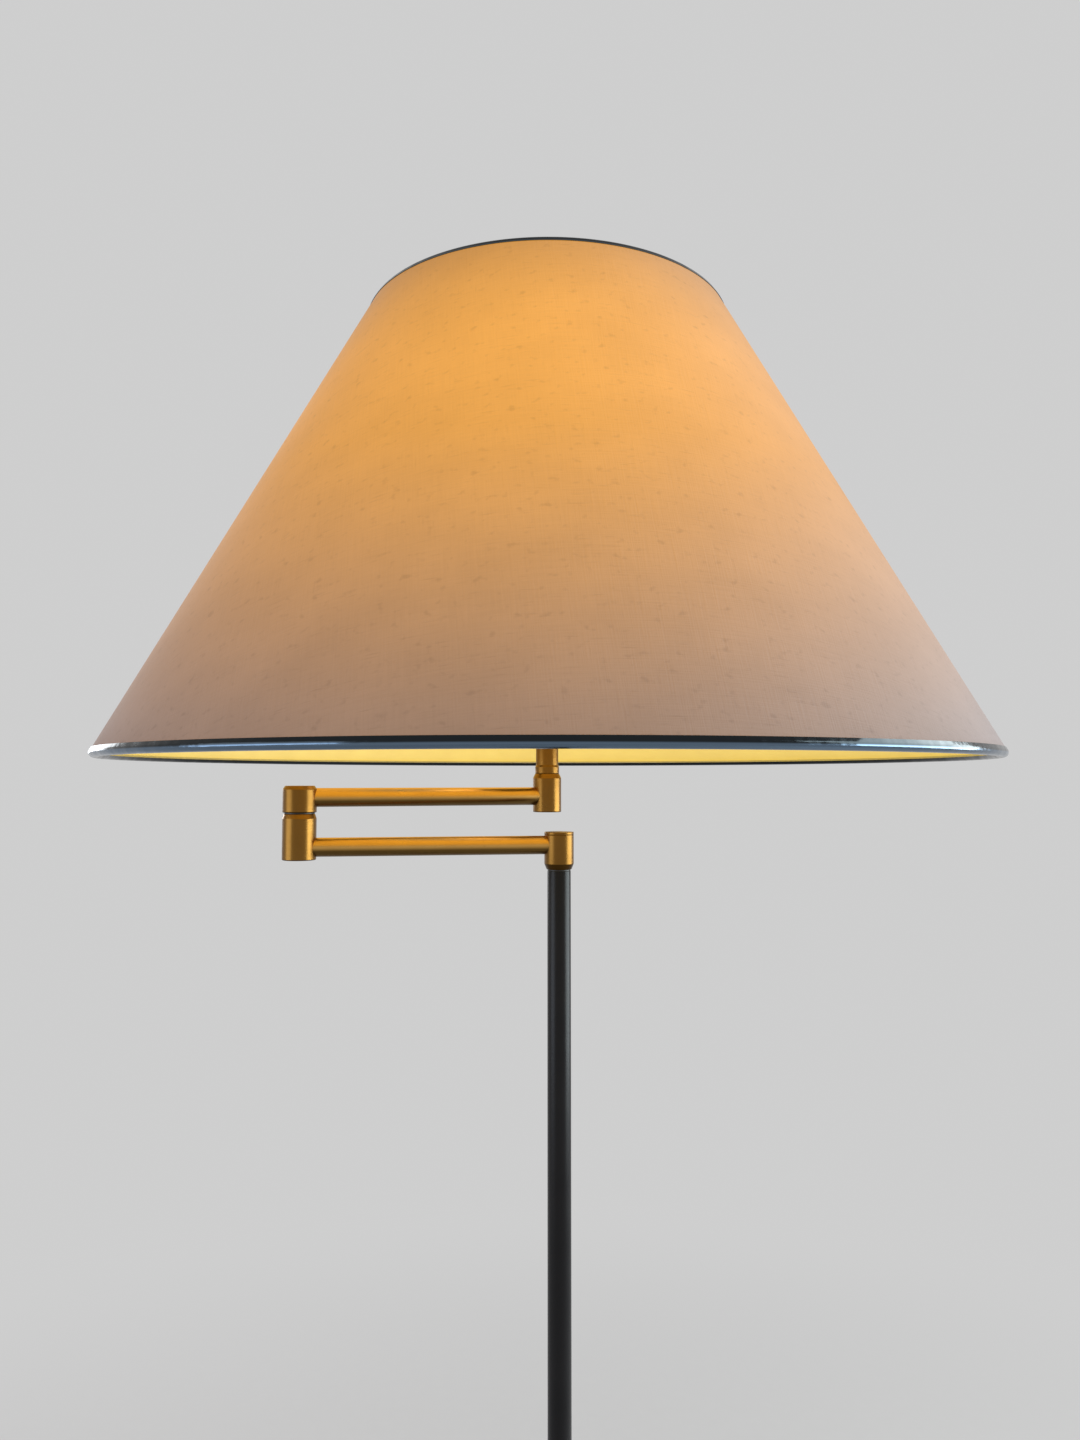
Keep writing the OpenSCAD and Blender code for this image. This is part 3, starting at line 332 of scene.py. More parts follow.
def satin_brass(name, lines, pale, deep):
    """Old lacquered brass between the tones pale and deep, with painted shade darkening what faces down.

    The lines scale the fine streaks of the polishing along X, Y and Z.
    """
    finish, tree, shader = new_finish(name)
    place = add_node(tree, "ShaderNodeTexCoord").outputs["Object"]
    along = add_node(tree, "ShaderNodeMapping", {"Vector": place, "Scale": lines})
    streaks = add_node(
        tree, "ShaderNodeTexNoise", {"Vector": along.outputs["Vector"], "Scale": 1.0, "Detail": 4.0}
    )
    bloom = add_node(tree, "ShaderNodeTexNoise", {"Vector": place, "Scale": 70.0, "Detail": 5.0})
    fleck = add_node(tree, "ShaderNodeTexNoise", {"Vector": place, "Scale": 900.0, "Detail": 2.0})
    spots = add_node(
        tree,
        "ShaderNodeMapRange",
        {"Value": fleck.outputs["Fac"], "From Min": 0.66, "From Max": 0.80, "To Max": 0.4},
    )
    tone = add_node(tree, "ShaderNodeMix", {0: bloom.outputs["Fac"]}, data_type="RGBA")
    tone.inputs["A"].default_value = pale
    tone.inputs["B"].default_value = deep
    worn = add_node(
        tree,
        "ShaderNodeMix",
        {0: spots.outputs["Result"], "A": tone.outputs["Result"]},
        data_type="RGBA",
    )
    worn.inputs["B"].default_value = (0.22, 0.11, 0.035, 1)
    wear = reckon(tree, "ADD", streaks.outputs["Fac"], bloom.outputs["Fac"])
    gloss = add_node(
        tree,
        "ShaderNodeMapRange",
        {"Value": wear, "From Min": 0.6, "From Max": 1.4, "To Min": 0.26, "To Max": 0.36},
    )
    bump = add_node(
        tree,
        "ShaderNodeBump",
        {"Height": streaks.outputs["Fac"], "Strength": 0.07, "Distance": 0.0002},
    )
    # Painted shade: the base colour is darkened where the surface faces down.
    facing = add_node(
        tree,
        "ShaderNodeSeparateXYZ",
        {"Vector": add_node(tree, "ShaderNodeTexCoord").outputs["Normal"]},
    )
    painted_underside_shade = add_node(
        tree,
        "ShaderNodeMapRange",
        {"Value": facing.outputs["Z"], "From Min": -0.45, "From Max": 0.05, "To Min": 0.20},
        interpolation_type="SMOOTHSTEP",
    )
    underside_shade_mix = add_node(
        tree,
        "ShaderNodeMix",
        {0: 1.0, "A": worn.outputs["Result"], "B": painted_underside_shade.outputs["Result"]},
        data_type="RGBA",
        blend_type="MULTIPLY",
    )
    shader.inputs["Metallic"].default_value = 1.0
    tree.links.new(underside_shade_mix.outputs["Result"], shader.inputs["Base Color"])
    tree.links.new(gloss.outputs["Result"], shader.inputs["Roughness"])
    tree.links.new(bump.outputs["Normal"], shader.inputs["Normal"])
    return finish


# Painted shade: this brass, on the knuckles and other turned pieces, is made much darker than the rods'
# brass.
turned_brass = satin_brass(
    "turned_brass", (60, 60, 3000), (0.235, 0.118, 0.026, 1), (0.178, 0.085, 0.017, 1)
)

low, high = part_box("pole_collar")
collar_r = high.x
collar_bevel = 0.002
collar_floor = 0.0015
pole_fit_r = 0.0064
section = [
    (cover_hole_r, low.z),
    (collar_r, low.z),
    (collar_r, high.z - collar_bevel),
    (collar_r - collar_bevel, high.z),
    (pole_fit_r, high.z),
    (pole_fit_r, low.z + collar_floor),
    (cover_hole_r, low.z + collar_floor),
]
collar = turn("brass_collar", section + section[:1], bevel=0.0004)
collar.data.materials.append(turned_brass)
ride_for(collar, "stand", "satin_brass", "pole_collar")

# ---------- knuckles ----------
# Turned brass barrels with bevelled ends. The pole knuckle turns on the pole's pivot, the two
# elbow knuckles turn on each other, and the end knuckle carries the stem. Each is hollow for
# the lead, and a thin disc closes it.
knuckle_edge = 0.00025
web = 0.003
pivot_room = 0.00405
arm_wall = 0.0017
elbow_wall = 0.0026
disc_t = 0.0015
square_end = (0.0001, 0.0001)
broken_end = (0.0003, 0.0003)


def axis_of(node):
    """Where the upright axis of a round node stands."""
    low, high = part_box(node)
    return ((low.x + high.x) / 2, (low.y + high.y) / 2)


def barrel(name, node, body, top, foot, wall, floor_up):
    """A knuckle on its node, with a chamber above or under its web.

    The bevels top and foot each say how far in and how high they go.
    """
    top_in, top_h = top
    foot_in, foot_h = foot
    low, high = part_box(node)
    r = (high.y - low.y) / 2
    chamber_r = r - wall
    skin = [(r - foot_in, low.z), (r, low.z + foot_h), (r, high.z - top_h), (r - top_in, high.z)]
    if floor_up:
        inside = [(chamber_r, high.z), (chamber_r, low.z + web)]
        inside += [(pivot_room, low.z + web), (pivot_room, low.z)]
    else:
        inside = [(pivot_room, high.z), (pivot_room, high.z - web)]
        inside += [(chamber_r, high.z - web), (chamber_r, low.z)]
    piece = turn(name, skin + inside + skin[:1], axis_of(node), bevel=knuckle_edge, crease=12)
    piece.data.materials.append(turned_brass)
    ride_for(piece, body, "satin_brass", node)
    return piece


for name, node, body, top, foot, wall, floor_up in (
    ("pole_barrel", "pole_knuckle", "lower_arm", square_end, (0.0012, 0.003), arm_wall, True),
    ("elbow_barrel_low", "elbow_lower_knuckle", "lower_arm", (0.0008, 0.0024), broken_end, elbow_wall, False),
    ("elbow_barrel_high", "elbow_upper_knuckle", "upper_arm", (0.0012, 0.0018), broken_end, elbow_wall, True),
    ("end_barrel", "end_knuckle", "upper_arm", (0.0012, 0.0026), broken_end, arm_wall, False),
):
    barrel(name, node, body, top, foot, wall, floor_up)

for name, node, body in (
    ("pole_barrel_disc", "pole_knuckle_cap", "lower_arm"),
    ("elbow_disc_low", "elbow_bottom_cap", "lower_arm"),
    ("elbow_disc_high", "elbow_top_cap", "upper_arm"),
    ("end_disc", "end_knuckle_cap", "upper_arm"),
):
    low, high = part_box(node)
    disc_r = (high.y - low.y) / 2
    disc_foot = max(low.z, high.z - disc_t)
    section = [(0, disc_foot), (disc_r, disc_foot), (disc_r, high.z), (0, high.z)]
    disc = turn(name, section, axis_of(node), bevel=0.0002)
    disc.data.materials.append(turned_brass)
    ride_for(disc, body, "satin_brass", node)

# ---------- rods ----------
# Two drawn brass tubes. Each is seated in the knuckles at its ends, and the lead runs inside.
elbow_at = Vector((*axis_of("elbow_top_cap"), 0))
shade_at = Vector((*axis_of("stem"), 0))
upper_way = (shade_at - elbow_at).normalized()
fold_angle = math.atan2(upper_way.y, upper_way.x)


def lay_along(piece, start, way):
    """Lays an upright piece, made at the origin, from start along a direction."""
    bpy.ops.object.select_all(action="DESELECT")
    piece.select_set(True)
    bpy.context.view_layer.objects.active = piece
    piece.rotation_euler = Vector((0, 0, 1)).rotation_difference(way).to_euler()
    piece.location = start
    bpy.ops.object.transform_apply(location=True, rotation=True)


rod_wall = 0.0012
# Painted light: the rods' brass is paler than the knuckles', for the bulb's light that falls on them from
# above.
drawn_brass = satin_brass(
    "drawn_brass", (40, 2200, 2200), (0.66, 0.38, 0.105, 1), (0.54, 0.29, 0.072, 1)
)
low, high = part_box("lower_rod")
rod_r = (high.z - low.z) / 2
rod_l = high.x - low.x
rod_start = low.x - elbow_at.x
for node, body, way in (
    ("lower_rod", "lower_arm", Vector((1, 0, 0))),
    ("upper_rod", "upper_arm", upper_way),
):
    low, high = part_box(node)
    rod = turn("brass_" + node, tube_section(rod_r, rod_r - rod_wall, 0, rod_l), bevel=0.0002)
    mid_z = Vector((0, 0, (low.z + high.z) / 2))
    lay_along(rod, elbow_at + way * rod_start + mid_z, way)
    rod.data.materials.append(drawn_brass)
    ride_for(rod, body, "satin_brass", node)

# ---------- stem ----------
# The turned brass stem between the end knuckle and the harp's saddle, on a hidden nipple.
low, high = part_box("stem")
stem_r = 0.00635
stem_foot_r = (high.y - low.y) / 2
stem_foot_h = 0.0045
stem_step = 0.0006
nipple_room = 0.00405
section = [
    (stem_foot_r, low.z),
    (stem_foot_r, low.z + stem_foot_h - stem_step),
    (stem_r, low.z + stem_foot_h),
    (stem_r, high.z),
    (nipple_room, high.z),
    (nipple_room, low.z),
]
stem = turn("brass_stem", section + section[:1], shade_at[:2], bevel=0.0002, crease=12)
stem.data.materials.append(turned_brass)
ride_for(stem, "upper_arm", "satin_brass", "stem")

# ---------- harp ----------
# A flat brass saddle under the socket, with two turned-up arms, and a bent brass wire loop
# whose feet stand on the arms inside two sliding ferrules. A plate and stud close its top.
saddle_t = 0.0012
saddle_half_w = 0.030
saddle_w = 0.012
tongue_w = 0.003
low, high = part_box("harp_saddle")
saddle_z = low.z
arm_top = high.z
bend_r = 0.0025


def turn_to_arm(piece):
    """Turns a piece made along X at the origin to the upper arm, over the shade's axis."""
    bpy.ops.object.select_all(action="DESELECT")
    piece.select_set(True)
    bpy.context.view_layer.objects.active = piece
    piece.rotation_euler = (0, 0, fold_angle)
    piece.location = shade_at
    bpy.ops.object.transform_apply(location=True, rotation=True)


def select_vertices(piece, chosen):
    """In edit mode, selects the vertices whose place passes the test."""
    mesh = bmesh.from_edit_mesh(piece.data)
    for vertex in mesh.verts:
        vertex.select = chosen(vertex.co)
    mesh.select_flush_mode()
    bmesh.update_edit_mesh(piece.data)


mid_x = saddle_half_w - saddle_t / 2
mid_z = saddle_z + saddle_t / 2
right_bend = arc_points(mid_x - bend_r, mid_z + bend_r, bend_r, -90, 0, 6)
left_bend = [(-x, z) for x, z in right_bend[::-1]]
strip = [(-mid_x, arm_top)] + left_bend + right_bend + [(mid_x, arm_top)]
points = [(x, -saddle_w / 2, z) for x, z in strip]
saddle = start_line("brass_saddle", *points[0])
extrude_to(points)
bpy.ops.mesh.select_all(action="SELECT")
bpy.ops.mesh.extrude_region_move(TRANSFORM_OT_translate={"value": (0, saddle_w, 0)})
bpy.ops.mesh.select_all(action="DESELECT")
bpy.ops.mesh.select_mode(type="VERT")
select_vertices(saddle, lambda place: place.z > arm_top - 1e-5)
bpy.ops.transform.resize(value=(1, tongue_w / saddle_w, 1), center_override=(0, 0, arm_top))
bpy.ops.mesh.select_all(action="SELECT")
bpy.ops.mesh.normals_make_consistent(inside=False)
bpy.ops.object.mode_set(mode="OBJECT")
use_modifier(saddle, "SOLIDIFY", thickness=saddle_t, offset=0)
use_modifier(
    saddle, "BEVEL", width=0.00025, segments=2, limit_method="ANGLE", angle_limit=math.radians(40)
)
smooth(saddle)
turn_to_arm(saddle)
saddle.data.materials.append(turned_brass)
ride_for(saddle, "upper_arm", "satin_brass", "harp_saddle")

harp_brass = satin_brass(
    "harp_brass", (300, 300, 300), (0.62, 0.36, 0.105, 1), (0.50, 0.27, 0.070, 1)
)
low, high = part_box("harp")
stud_h = 0.015
stud_r = 0.0031
plate_r = 0.008
plate_t = 0.0038
wire_r = 0.0016
harp_foot_z = low.z
harp_top_z = high.z - stud_h
harp_half_w = 0.055
foot_l = 0.010
foot_arc_r = 0.030
flank_arc_r = 0.060
splay = 30
shoulder_x = 0.005
shoulder_r = harp_half_w - shoulder_x
wire_top_z = harp_top_z - plate_t / 2
lean = math.radians(splay)
flank = harp_half_w - mid_x - (foot_arc_r + flank_arc_r) * (1 - math.cos(lean))
run_rise = flank / math.tan(lean)
bend_z = harp_foot_z + foot_l
lower_bend = arc_points(mid_x + foot_arc_r, bend_z, foot_arc_r, 180, 180 - splay, 8)
side_z = lower_bend[-1][1] + run_rise
upper_bend = arc_points(
    harp_half_w - flank_arc_r, side_z + flank_arc_r * math.sin(lean), flank_arc_r, -splay, 0, 8
)
shoulder = arc_points(shoulder_x, wire_top_z - shoulder_r, shoulder_r, 0, 90, 16)
side = [(mid_x, harp_foot_z)] + lower_bend + upper_bend + shoulder
loop = [(-x, z) for x, z in side] + side[::-1]


def bend_wire(name, points, radius):
    """A round wire along points, with closed ends."""
    wire = start_line(name, *points[0])
    extrude_to(points)
    bpy.ops.object.mode_set(mode="OBJECT")
    bpy.ops.object.convert(target="CURVE")
    wire = bpy.context.object
    wire.data.bevel_depth = radius
    wire.data.bevel_resolution = 5
    wire.data.use_fill_caps = True
    bpy.ops.object.convert(target="MESH")
    smooth(wire, 50)
    return wire


def join(pieces):
    """Joins pieces into the first one."""
    bpy.ops.object.select_all(action="DESELECT")
    for piece in pieces:
        piece.select_set(True)
    bpy.context.view_layer.objects.active = pieces[0]
    bpy.ops.object.join()
    return pieces[0]


wire = bend_wire("brass_harp", [(x, 0, z) for x, z in loop], wire_r)
section = [
    (0, harp_top_z - plate_t),
    (plate_r, harp_top_z - plate_t),
    (plate_r, harp_top_z),
    (stud_r, harp_top_z),
    (stud_r, high.z),
    (0, high.z),
]
plate = turn("harp_plate", section, steps=64, bevel=0.0004)
harp = join([wire, plate])
turn_to_arm(harp)
harp.data.materials.append(harp_brass)
ride_for(harp, "upper_arm", "satin_brass", "harp")

low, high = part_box("harp_ferrules")
ferrule_r = (high.y - low.y) / 2 - mid_x * abs(math.sin(fold_angle))
lip = 0.0008
bore_r = wire_r + 0.00015
section = [
    (ferrule_r, low.z),
    (ferrule_r, low.z + lip),
    (ferrule_r - 0.0004, low.z + 2 * lip),
    (ferrule_r - 0.0004, high.z - 2 * lip),
    (ferrule_r, high.z - lip),
    (ferrule_r, high.z),
    (bore_r, high.z),
    (bore_r, low.z),
]
for name, side_x in (("ferrule_left", -mid_x), ("ferrule_right", mid_x)):
    ferrule = turn(name, section + section[:1], (side_x, 0), steps=48, bevel=0.0002)
    turn_to_arm(ferrule)
    ferrule.data.materials.append(turned_brass)
    ride_for(ferrule, "upper_arm", "satin_brass", "harp_ferrules")

# ---------- finial ----------
# A turned brass ball on a waisted foot, screwed on the harp's stud over the shade's hub.
low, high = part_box("finial")
ball_r = (high.y - low.y) / 2
ball_z = high.z - ball_r
foot_r = 0.007
waist_r = 0.0046
waist_z = low.z + 0.0045
chamfer = 0.0003
foot_in = 0.0004
side_top = low.z + 0.0011
rim_round = 0.0006
rim_round_z = low.z + 0.0017
section = (
    [(0, low.z), (foot_r - chamfer, low.z), (foot_r, low.z + foot_in), (foot_r, side_top)]
    + arc_points(foot_r - foot_in, rim_round_z, rim_round, -60, 90, 6)
    + arc_points(foot_r - foot_in, waist_z, foot_r - foot_in - waist_r, 270, 180, 6)[1:]
    + arc_points(0, ball_z, ball_r, -math.degrees(math.acos(waist_r / ball_r)), 90, 28)
)
finial = turn("brass_finial", section, shade_at[:2], steps=96)
finial.data.materials.append(turned_brass)
ride_for(finial, "upper_arm", "satin_brass", "finial")

# ---------- socket ----------
# A spun brass cap and a thin brass shell with two rolled beads, pressed into the cap's rim.
# The insulating sleeve and the body inside stay as they are built.
low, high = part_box("socket_cap")
cap_r = (high.y - low.y) / 2
hub_r = 0.0065
hub_h = 0.004
rim_h = 0.005
wall = 0.0005
dome_h = high.z - low.z - hub_h - rim_h


def cap_skin(inset):
    """The dome of the socket's cap, from its hub out to its rim."""
    skin = []
    for i in range(13):
        a = math.radians(90) * i / 12
        skin.append(
            (
                hub_r + (cap_r - inset - hub_r) * math.sin(a),
                low.z + hub_h + inset + (dome_h - inset) * (1 - math.cos(a)),
            )
        )
    return skin


rim = [(cap_r, high.z), (cap_r - wall, high.z)]
hub_inside = [(nipple_room, low.z + hub_h + wall), (nipple_room, low.z)]
section = [(hub_r, low.z)] + cap_skin(0) + rim + cap_skin(wall)[::-1] + hub_inside
socket_cap = turn("brass_socket_cap", section + section[:1], shade_at[:2], bevel=0.00015)
socket_cap.data.materials.append(turned_brass)
ride_for(socket_cap, "upper_arm", "satin_brass", "socket_cap")

cap_rim_z = high.z
low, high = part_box("socket_shell")
shell_r = (high.y - low.y) / 2
bead = 0.0011
bead_sunk = 0.35
bead_sweep = 65
bead_inset = 0.006
plain_rise = 0.004
skin = [(shell_r, low.z), (shell_r, cap_rim_z + plain_rise)]
for bead_z in (cap_rim_z + bead_inset, high.z - bead_inset):
    bulge = arc_points(-bead * bead_sunk, bead_z, bead, -bead_sweep, bead_sweep, 8)
    skin += [(shell_r + r, z) for r, z in bulge]
skin += [(shell_r, high.z)]
section = skin + [(r - wall, z) for r, z in skin[::-1]]
socket_shell = turn("brass_socket_shell", section + section[:1], shade_at[:2], bevel=0.0001)
socket_shell.data.materials.append(turned_brass)
ride_for(socket_shell, "upper_arm", "satin_brass", "socket_shell")

# ---------- switch key ----------
# A moulded phenolic knob with finger flutes, on the short shaft that turns the switch.


def speckled(name, dark, pale, scale, rough, metallic=0.0, bump_mm=0.05):
    """A finish that drifts between two colours, with uneven gloss and a fine tooth."""
    finish, tree, shader = new_finish(name)
    place = add_node(tree, "ShaderNodeTexCoord").outputs["Object"]
    drift = add_node(
        tree, "ShaderNodeTexNoise", {"Vector": place, "Scale": scale, "Detail": 6.0, "Roughness": 0.6}
    )
    tooth = add_node(
        tree, "ShaderNodeTexNoise", {"Vector": place, "Scale": scale * 8, "Detail": 3.0}
    )
    tone = add_node(tree, "ShaderNodeMix", {0: drift.outputs["Fac"]}, data_type="RGBA")
    tone.inputs["A"].default_value = (*dark, 1)
    tone.inputs["B"].default_value = (*pale, 1)
    gloss = add_node(
        tree,
        "ShaderNodeMapRange",
        {"Value": tooth.outputs["Fac"], "To Min": rough - 0.08, "To Max": rough + 0.08},
    )
    bump = add_node(
        tree,
        "ShaderNodeBump",
        {"Height": tooth.outputs["Fac"], "Strength": 0.4, "Distance": bump_mm / 1000},
    )
    shader.inputs["Metallic"].default_value = metallic
    tree.links.new(tone.outputs["Result"], shader.inputs["Base Color"])
    tree.links.new(gloss.outputs["Result"], shader.inputs["Roughness"])
    tree.links.new(bump.outputs["Normal"], shader.inputs["Normal"])
    return finish


phenolic = speckled("phenolic", (0.018, 0.010, 0.007), (0.040, 0.024, 0.017), 300.0, 0.30)
low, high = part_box("switch_key")
key_way = Vector((math.sin(fold_angle), -math.cos(fold_angle), 0))
key_z = (low.z + high.z) / 2
knob_r = (high.z - low.z) / 2
knob_t = 0.007
knob_out = 0.028
shaft_in = 0.0044
shaft_r = 0.002
flutes = 12
flute_depth = 0.0005
flute_from, flute_to = 0.2, 0.8
knob_chamfer = 0.0015
knob_round = 0.001
dish_r = 0.003
dish = 0.0006
section = (
    [(0, shaft_in), (shaft_r, shaft_in), (shaft_r, knob_out - knob_t)]
    + [(knob_r - knob_chamfer, knob_out - knob_t), (knob_r, knob_out - knob_t + knob_chamfer)]
    + [(knob_r, knob_out - knob_round)]
    + arc_points(knob_r - knob_round, knob_out - knob_round, knob_round, 20, 90, 4)
    + [(dish_r, knob_out), (0, knob_out - dish)]
)
key = turn("fluted_key", section, steps=4 * flutes)
bpy.ops.object.mode_set(mode="EDIT")
bpy.ops.mesh.select_all(action="DESELECT")
bpy.ops.mesh.select_mode(type="VERT")


def in_flute(place):
    """Whether a vertex of the knob's side lies in one of its flutes."""
    turn_share = math.atan2(place.y, place.x) / math.tau * flutes % 1
    on_side = math.hypot(place.x, place.y) > knob_r - 0.0002
    return on_side and flute_from < turn_share < flute_to


select_vertices(key, in_flute)
bpy.ops.transform.shrink_fatten(value=-flute_depth)
bpy.ops.object.mode_set(mode="OBJECT")
lay_along(key, shade_at + Vector((0, 0, key_z)), key_way)
key.data.materials.append(phenolic)
ride_for(key, "switch_key", "phenolic", "switch_key")

# ---------- bulb ----------
# A frosted globe bulb, lit. Its glass sits in a rolled aluminium screw cap, above a black
# insulator with the tip.
low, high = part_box("bulb_cap")
thread_r = (high.y - low.y) / 2
thread_depth = 0.0007
thread_pitch = 0.0036
thread_foot = low.z + 0.002
thread_head = high.z - 0.003
cap_bore_r = 0.0119
cap_taper = 0.002
cap_floor = 0.0004
rows = 40
skin = [(thread_r - cap_taper, low.z)]
skin += [(thread_r, thread_foot + (thread_head - thread_foot) * i / rows) for i in range(rows + 1)]
skin += [(thread_r - thread_depth, high.z)]
inside = [(cap_bore_r, high.z), (cap_bore_r, low.z + cap_floor)]
section = skin + inside
bulb_cap = turn("bulb_screw_cap", section + section[:1], shade_at[:2], steps=96)
for vertex in bulb_cap.data.vertices:
    out = vertex.co - shade_at
    radius = math.hypot(out.x, out.y)
    if radius > thread_r - 1e-4:
        rise = (vertex.co.z - thread_foot) / thread_pitch - math.atan2(out.y, out.x) / math.tau
        cut = thread_depth * (1 - math.cos(math.tau * rise)) / 2
        vertex.co.x -= out.x / radius * cut
        vertex.co.y -= out.y / radius * cut
smooth(bulb_cap, 60)
aluminium = speckled("rolled_aluminium", (0.62, 0.61, 0.58), (0.78, 0.77, 0.74), 250.0, 0.32, 1.0, 0.02)
bulb_cap.data.materials.append(aluminium)
ride_for(bulb_cap, "upper_arm", "bulb_aluminium", "bulb_cap")

low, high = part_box("bulb_glass")
globe_r = (high.y - low.y) / 2
globe_z = high.z - globe_r
glass_t = 0.001
glass_foot_r = 0.0118
glass_foot_h = 0.0143
neck_r = 0.0126
neck_z = low.z + 0.0186
globe_start = -42


def glass_skin(inset):
    """The glass's outline from its foot up to its top, inset from the outside."""
    a = math.radians(globe_start)
    join_r = globe_r * math.cos(a)
    join_z = globe_z + globe_r * math.sin(a)
    span = join_z - neck_z
    end_slope = span * math.tan(-a)
    outline = [(glass_foot_r, low.z), (glass_foot_r, low.z + glass_foot_h)]
    for i in range(13):
        t = i / 12
        rise = 3 * t * t - 2 * t**3
        out = neck_r + rise * (join_r - neck_r) + (t**3 - t * t) * end_slope
        outline.append((out, neck_z + span * t))
    outline = [(r - inset, z) for r, z in outline]
    return outline + arc_points(0, globe_z, globe_r - inset, globe_start, 90, 32)[1:]


section = glass_skin(0) + glass_skin(glass_t)[::-1]
bulb = turn("frosted_bulb", section + section[:1], shade_at[:2], steps=96)
glow_glass, tree, shader = new_finish("frosted_glass")
place = add_node(tree, "ShaderNodeTexCoord").outputs["Object"]
frost = add_node(tree, "ShaderNodeTexNoise", {"Vector": place, "Scale": 500.0, "Detail": 3.0})
lit_height = add_node(tree, "ShaderNodeSeparateXYZ", {"Vector": place}).outputs["Z"]
bulb_level = add_node(
    tree,
    "ShaderNodeMapRange",
    {"Value": lit_height, "From Min": neck_z, "From Max": globe_z, "To Min": 1.2, "To Max": 4.0},
)
glass_tone = add_node(tree, "ShaderNodeMix", {0: frost.outputs["Fac"]}, data_type="RGBA")
glass_tone.inputs["A"].default_value = (0.80, 0.76, 0.68, 1)
glass_tone.inputs["B"].default_value = (0.88, 0.85, 0.78, 1)
tree.links.new(glass_tone.outputs["Result"], shader.inputs["Base Color"])
tree.links.new(bulb_level.outputs["Result"], shader.inputs["Emission Strength"])
shader.inputs["Emission Color"].default_value = (1.0, 0.72, 0.36, 1)
shader.inputs["Roughness"].default_value = 0.45
bulb.data.materials.append(glow_glass)
ride_for(bulb, "upper_arm", "bulb_glass", "bulb_glass")

# ---------- shade fabric ----------
# Slubby ivory linen bonded to a stiff lining. It is cut as a flat sector, rolled to a cone and
# lapped at the back, and the lamp's light glows through it.
trim_t = 0.00035
ring_r = 0.00125
bead_r = 0.00235
fabric_t = 0.0008
liner_t = 0.0005
seat = 0.00005
lap = 0.012
lap_lead = 0.004
lap_ramp = 0.003
lap_gap = 0.0002
lap_least = 0.05
edge_in = 0.004
edge_ramp = 0.006
low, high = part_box("shade_bottom_trim")
top_low, top_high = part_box("shade_top_trim")
roll_bottom_r = (high.y - low.y) / 2 - bead_r
roll_top_r = (top_high.y - top_low.y) / 2 - bead_r
roll_bottom_z = low.z + bead_r
roll_top_z = top_high.z - bead_r
slope = math.atan2(roll_bottom_r - roll_top_r, roll_top_z - roll_bottom_z)
slant = math.hypot(roll_bottom_r - roll_top_r, roll_top_z - roll_bottom_z)


def on_shade(up, out):
    """(radius, height) of a point up the slant and outwards from the bottom roll's centre."""
    return (
        roll_bottom_r - up * math.sin(slope) + out * math.cos(slope),
        roll_bottom_z + up * math.cos(slope) + out * math.sin(slope),
    )


face_out = bead_r - trim_t - seat


def roll_cone(name, out, thickness, rows, columns):
    """A thin cone whose outer face lies out from the rolls' centres, lapped at the back."""
    foot_r, foot_z = on_shade(0, out)
    head_r, head_z = on_shade(slant, out)
    overlap = lap / foot_r
    points = [
        (0, foot_r + (head_r - foot_r) * i / rows, foot_z + (head_z - foot_z) * i / rows)
        for i in range(rows + 1)
    ]
    piece = start_line(name, *points[0])
    extrude_to(points)
    bpy.ops.mesh.select_all(action="SELECT")
    bpy.ops.mesh.spin(steps=columns, angle=math.tau + overlap, center=(0, 0, 0), axis=(0, 0, 1))
    bpy.ops.object.mode_set(mode="OBJECT")
    vertices = piece.data.vertices
    lift_way = Vector((math.cos(slope), math.sin(slope)))
    per_column = len(points)
    turned = (math.tau + overlap) / columns
    flat = {}
    for index, vertex in enumerate(vertices):
        column, row = divmod(index, per_column)
        angle = turned * column
        up = slant * row / rows
        lapped = min(1, max(0, (angle - math.tau + lap_lead / foot_r) / (lap_ramp / foot_r)))
        edge_fade = min(1, max(0, (min(up, slant - up) - edge_in) / edge_ramp))
        lifted = lapped * (lap_least + (1 - lap_least) * edge_fade) * (thickness + lap_gap)
        radius = math.hypot(vertex.co.x, vertex.co.y)
        vertex.co.x *= 1 + lifted * lift_way.x / radius
        vertex.co.y *= 1 + lifted * lift_way.x / radius
        vertex.co.z += lifted * lift_way.y
        from_front = (angle - math.pi) * math.sin(slope)
        apex = radius / math.sin(slope)
        flat[index] = (apex * math.sin(from_front), apex * math.cos(from_front))
    layer = piece.data.uv_layers.new(name="flat_cut")
    for loop in piece.data.loops:
        layer.data[loop.index].uv = flat[loop.vertex_index]
    bpy.ops.object.mode_set(mode="EDIT")
    bpy.ops.mesh.select_all(action="SELECT")
    bpy.ops.mesh.normals_make_consistent(inside=False)
    bpy.ops.object.mode_set(mode="OBJECT")
    use_modifier(piece, "SOLIDIFY", thickness=thickness, offset=-1)
    smooth(piece, 40)
    bpy.ops.object.select_all(action="DESELECT")
    piece.select_set(True)
    piece.location = shade_at
    bpy.ops.object.transform_apply(location=True)
    return piece


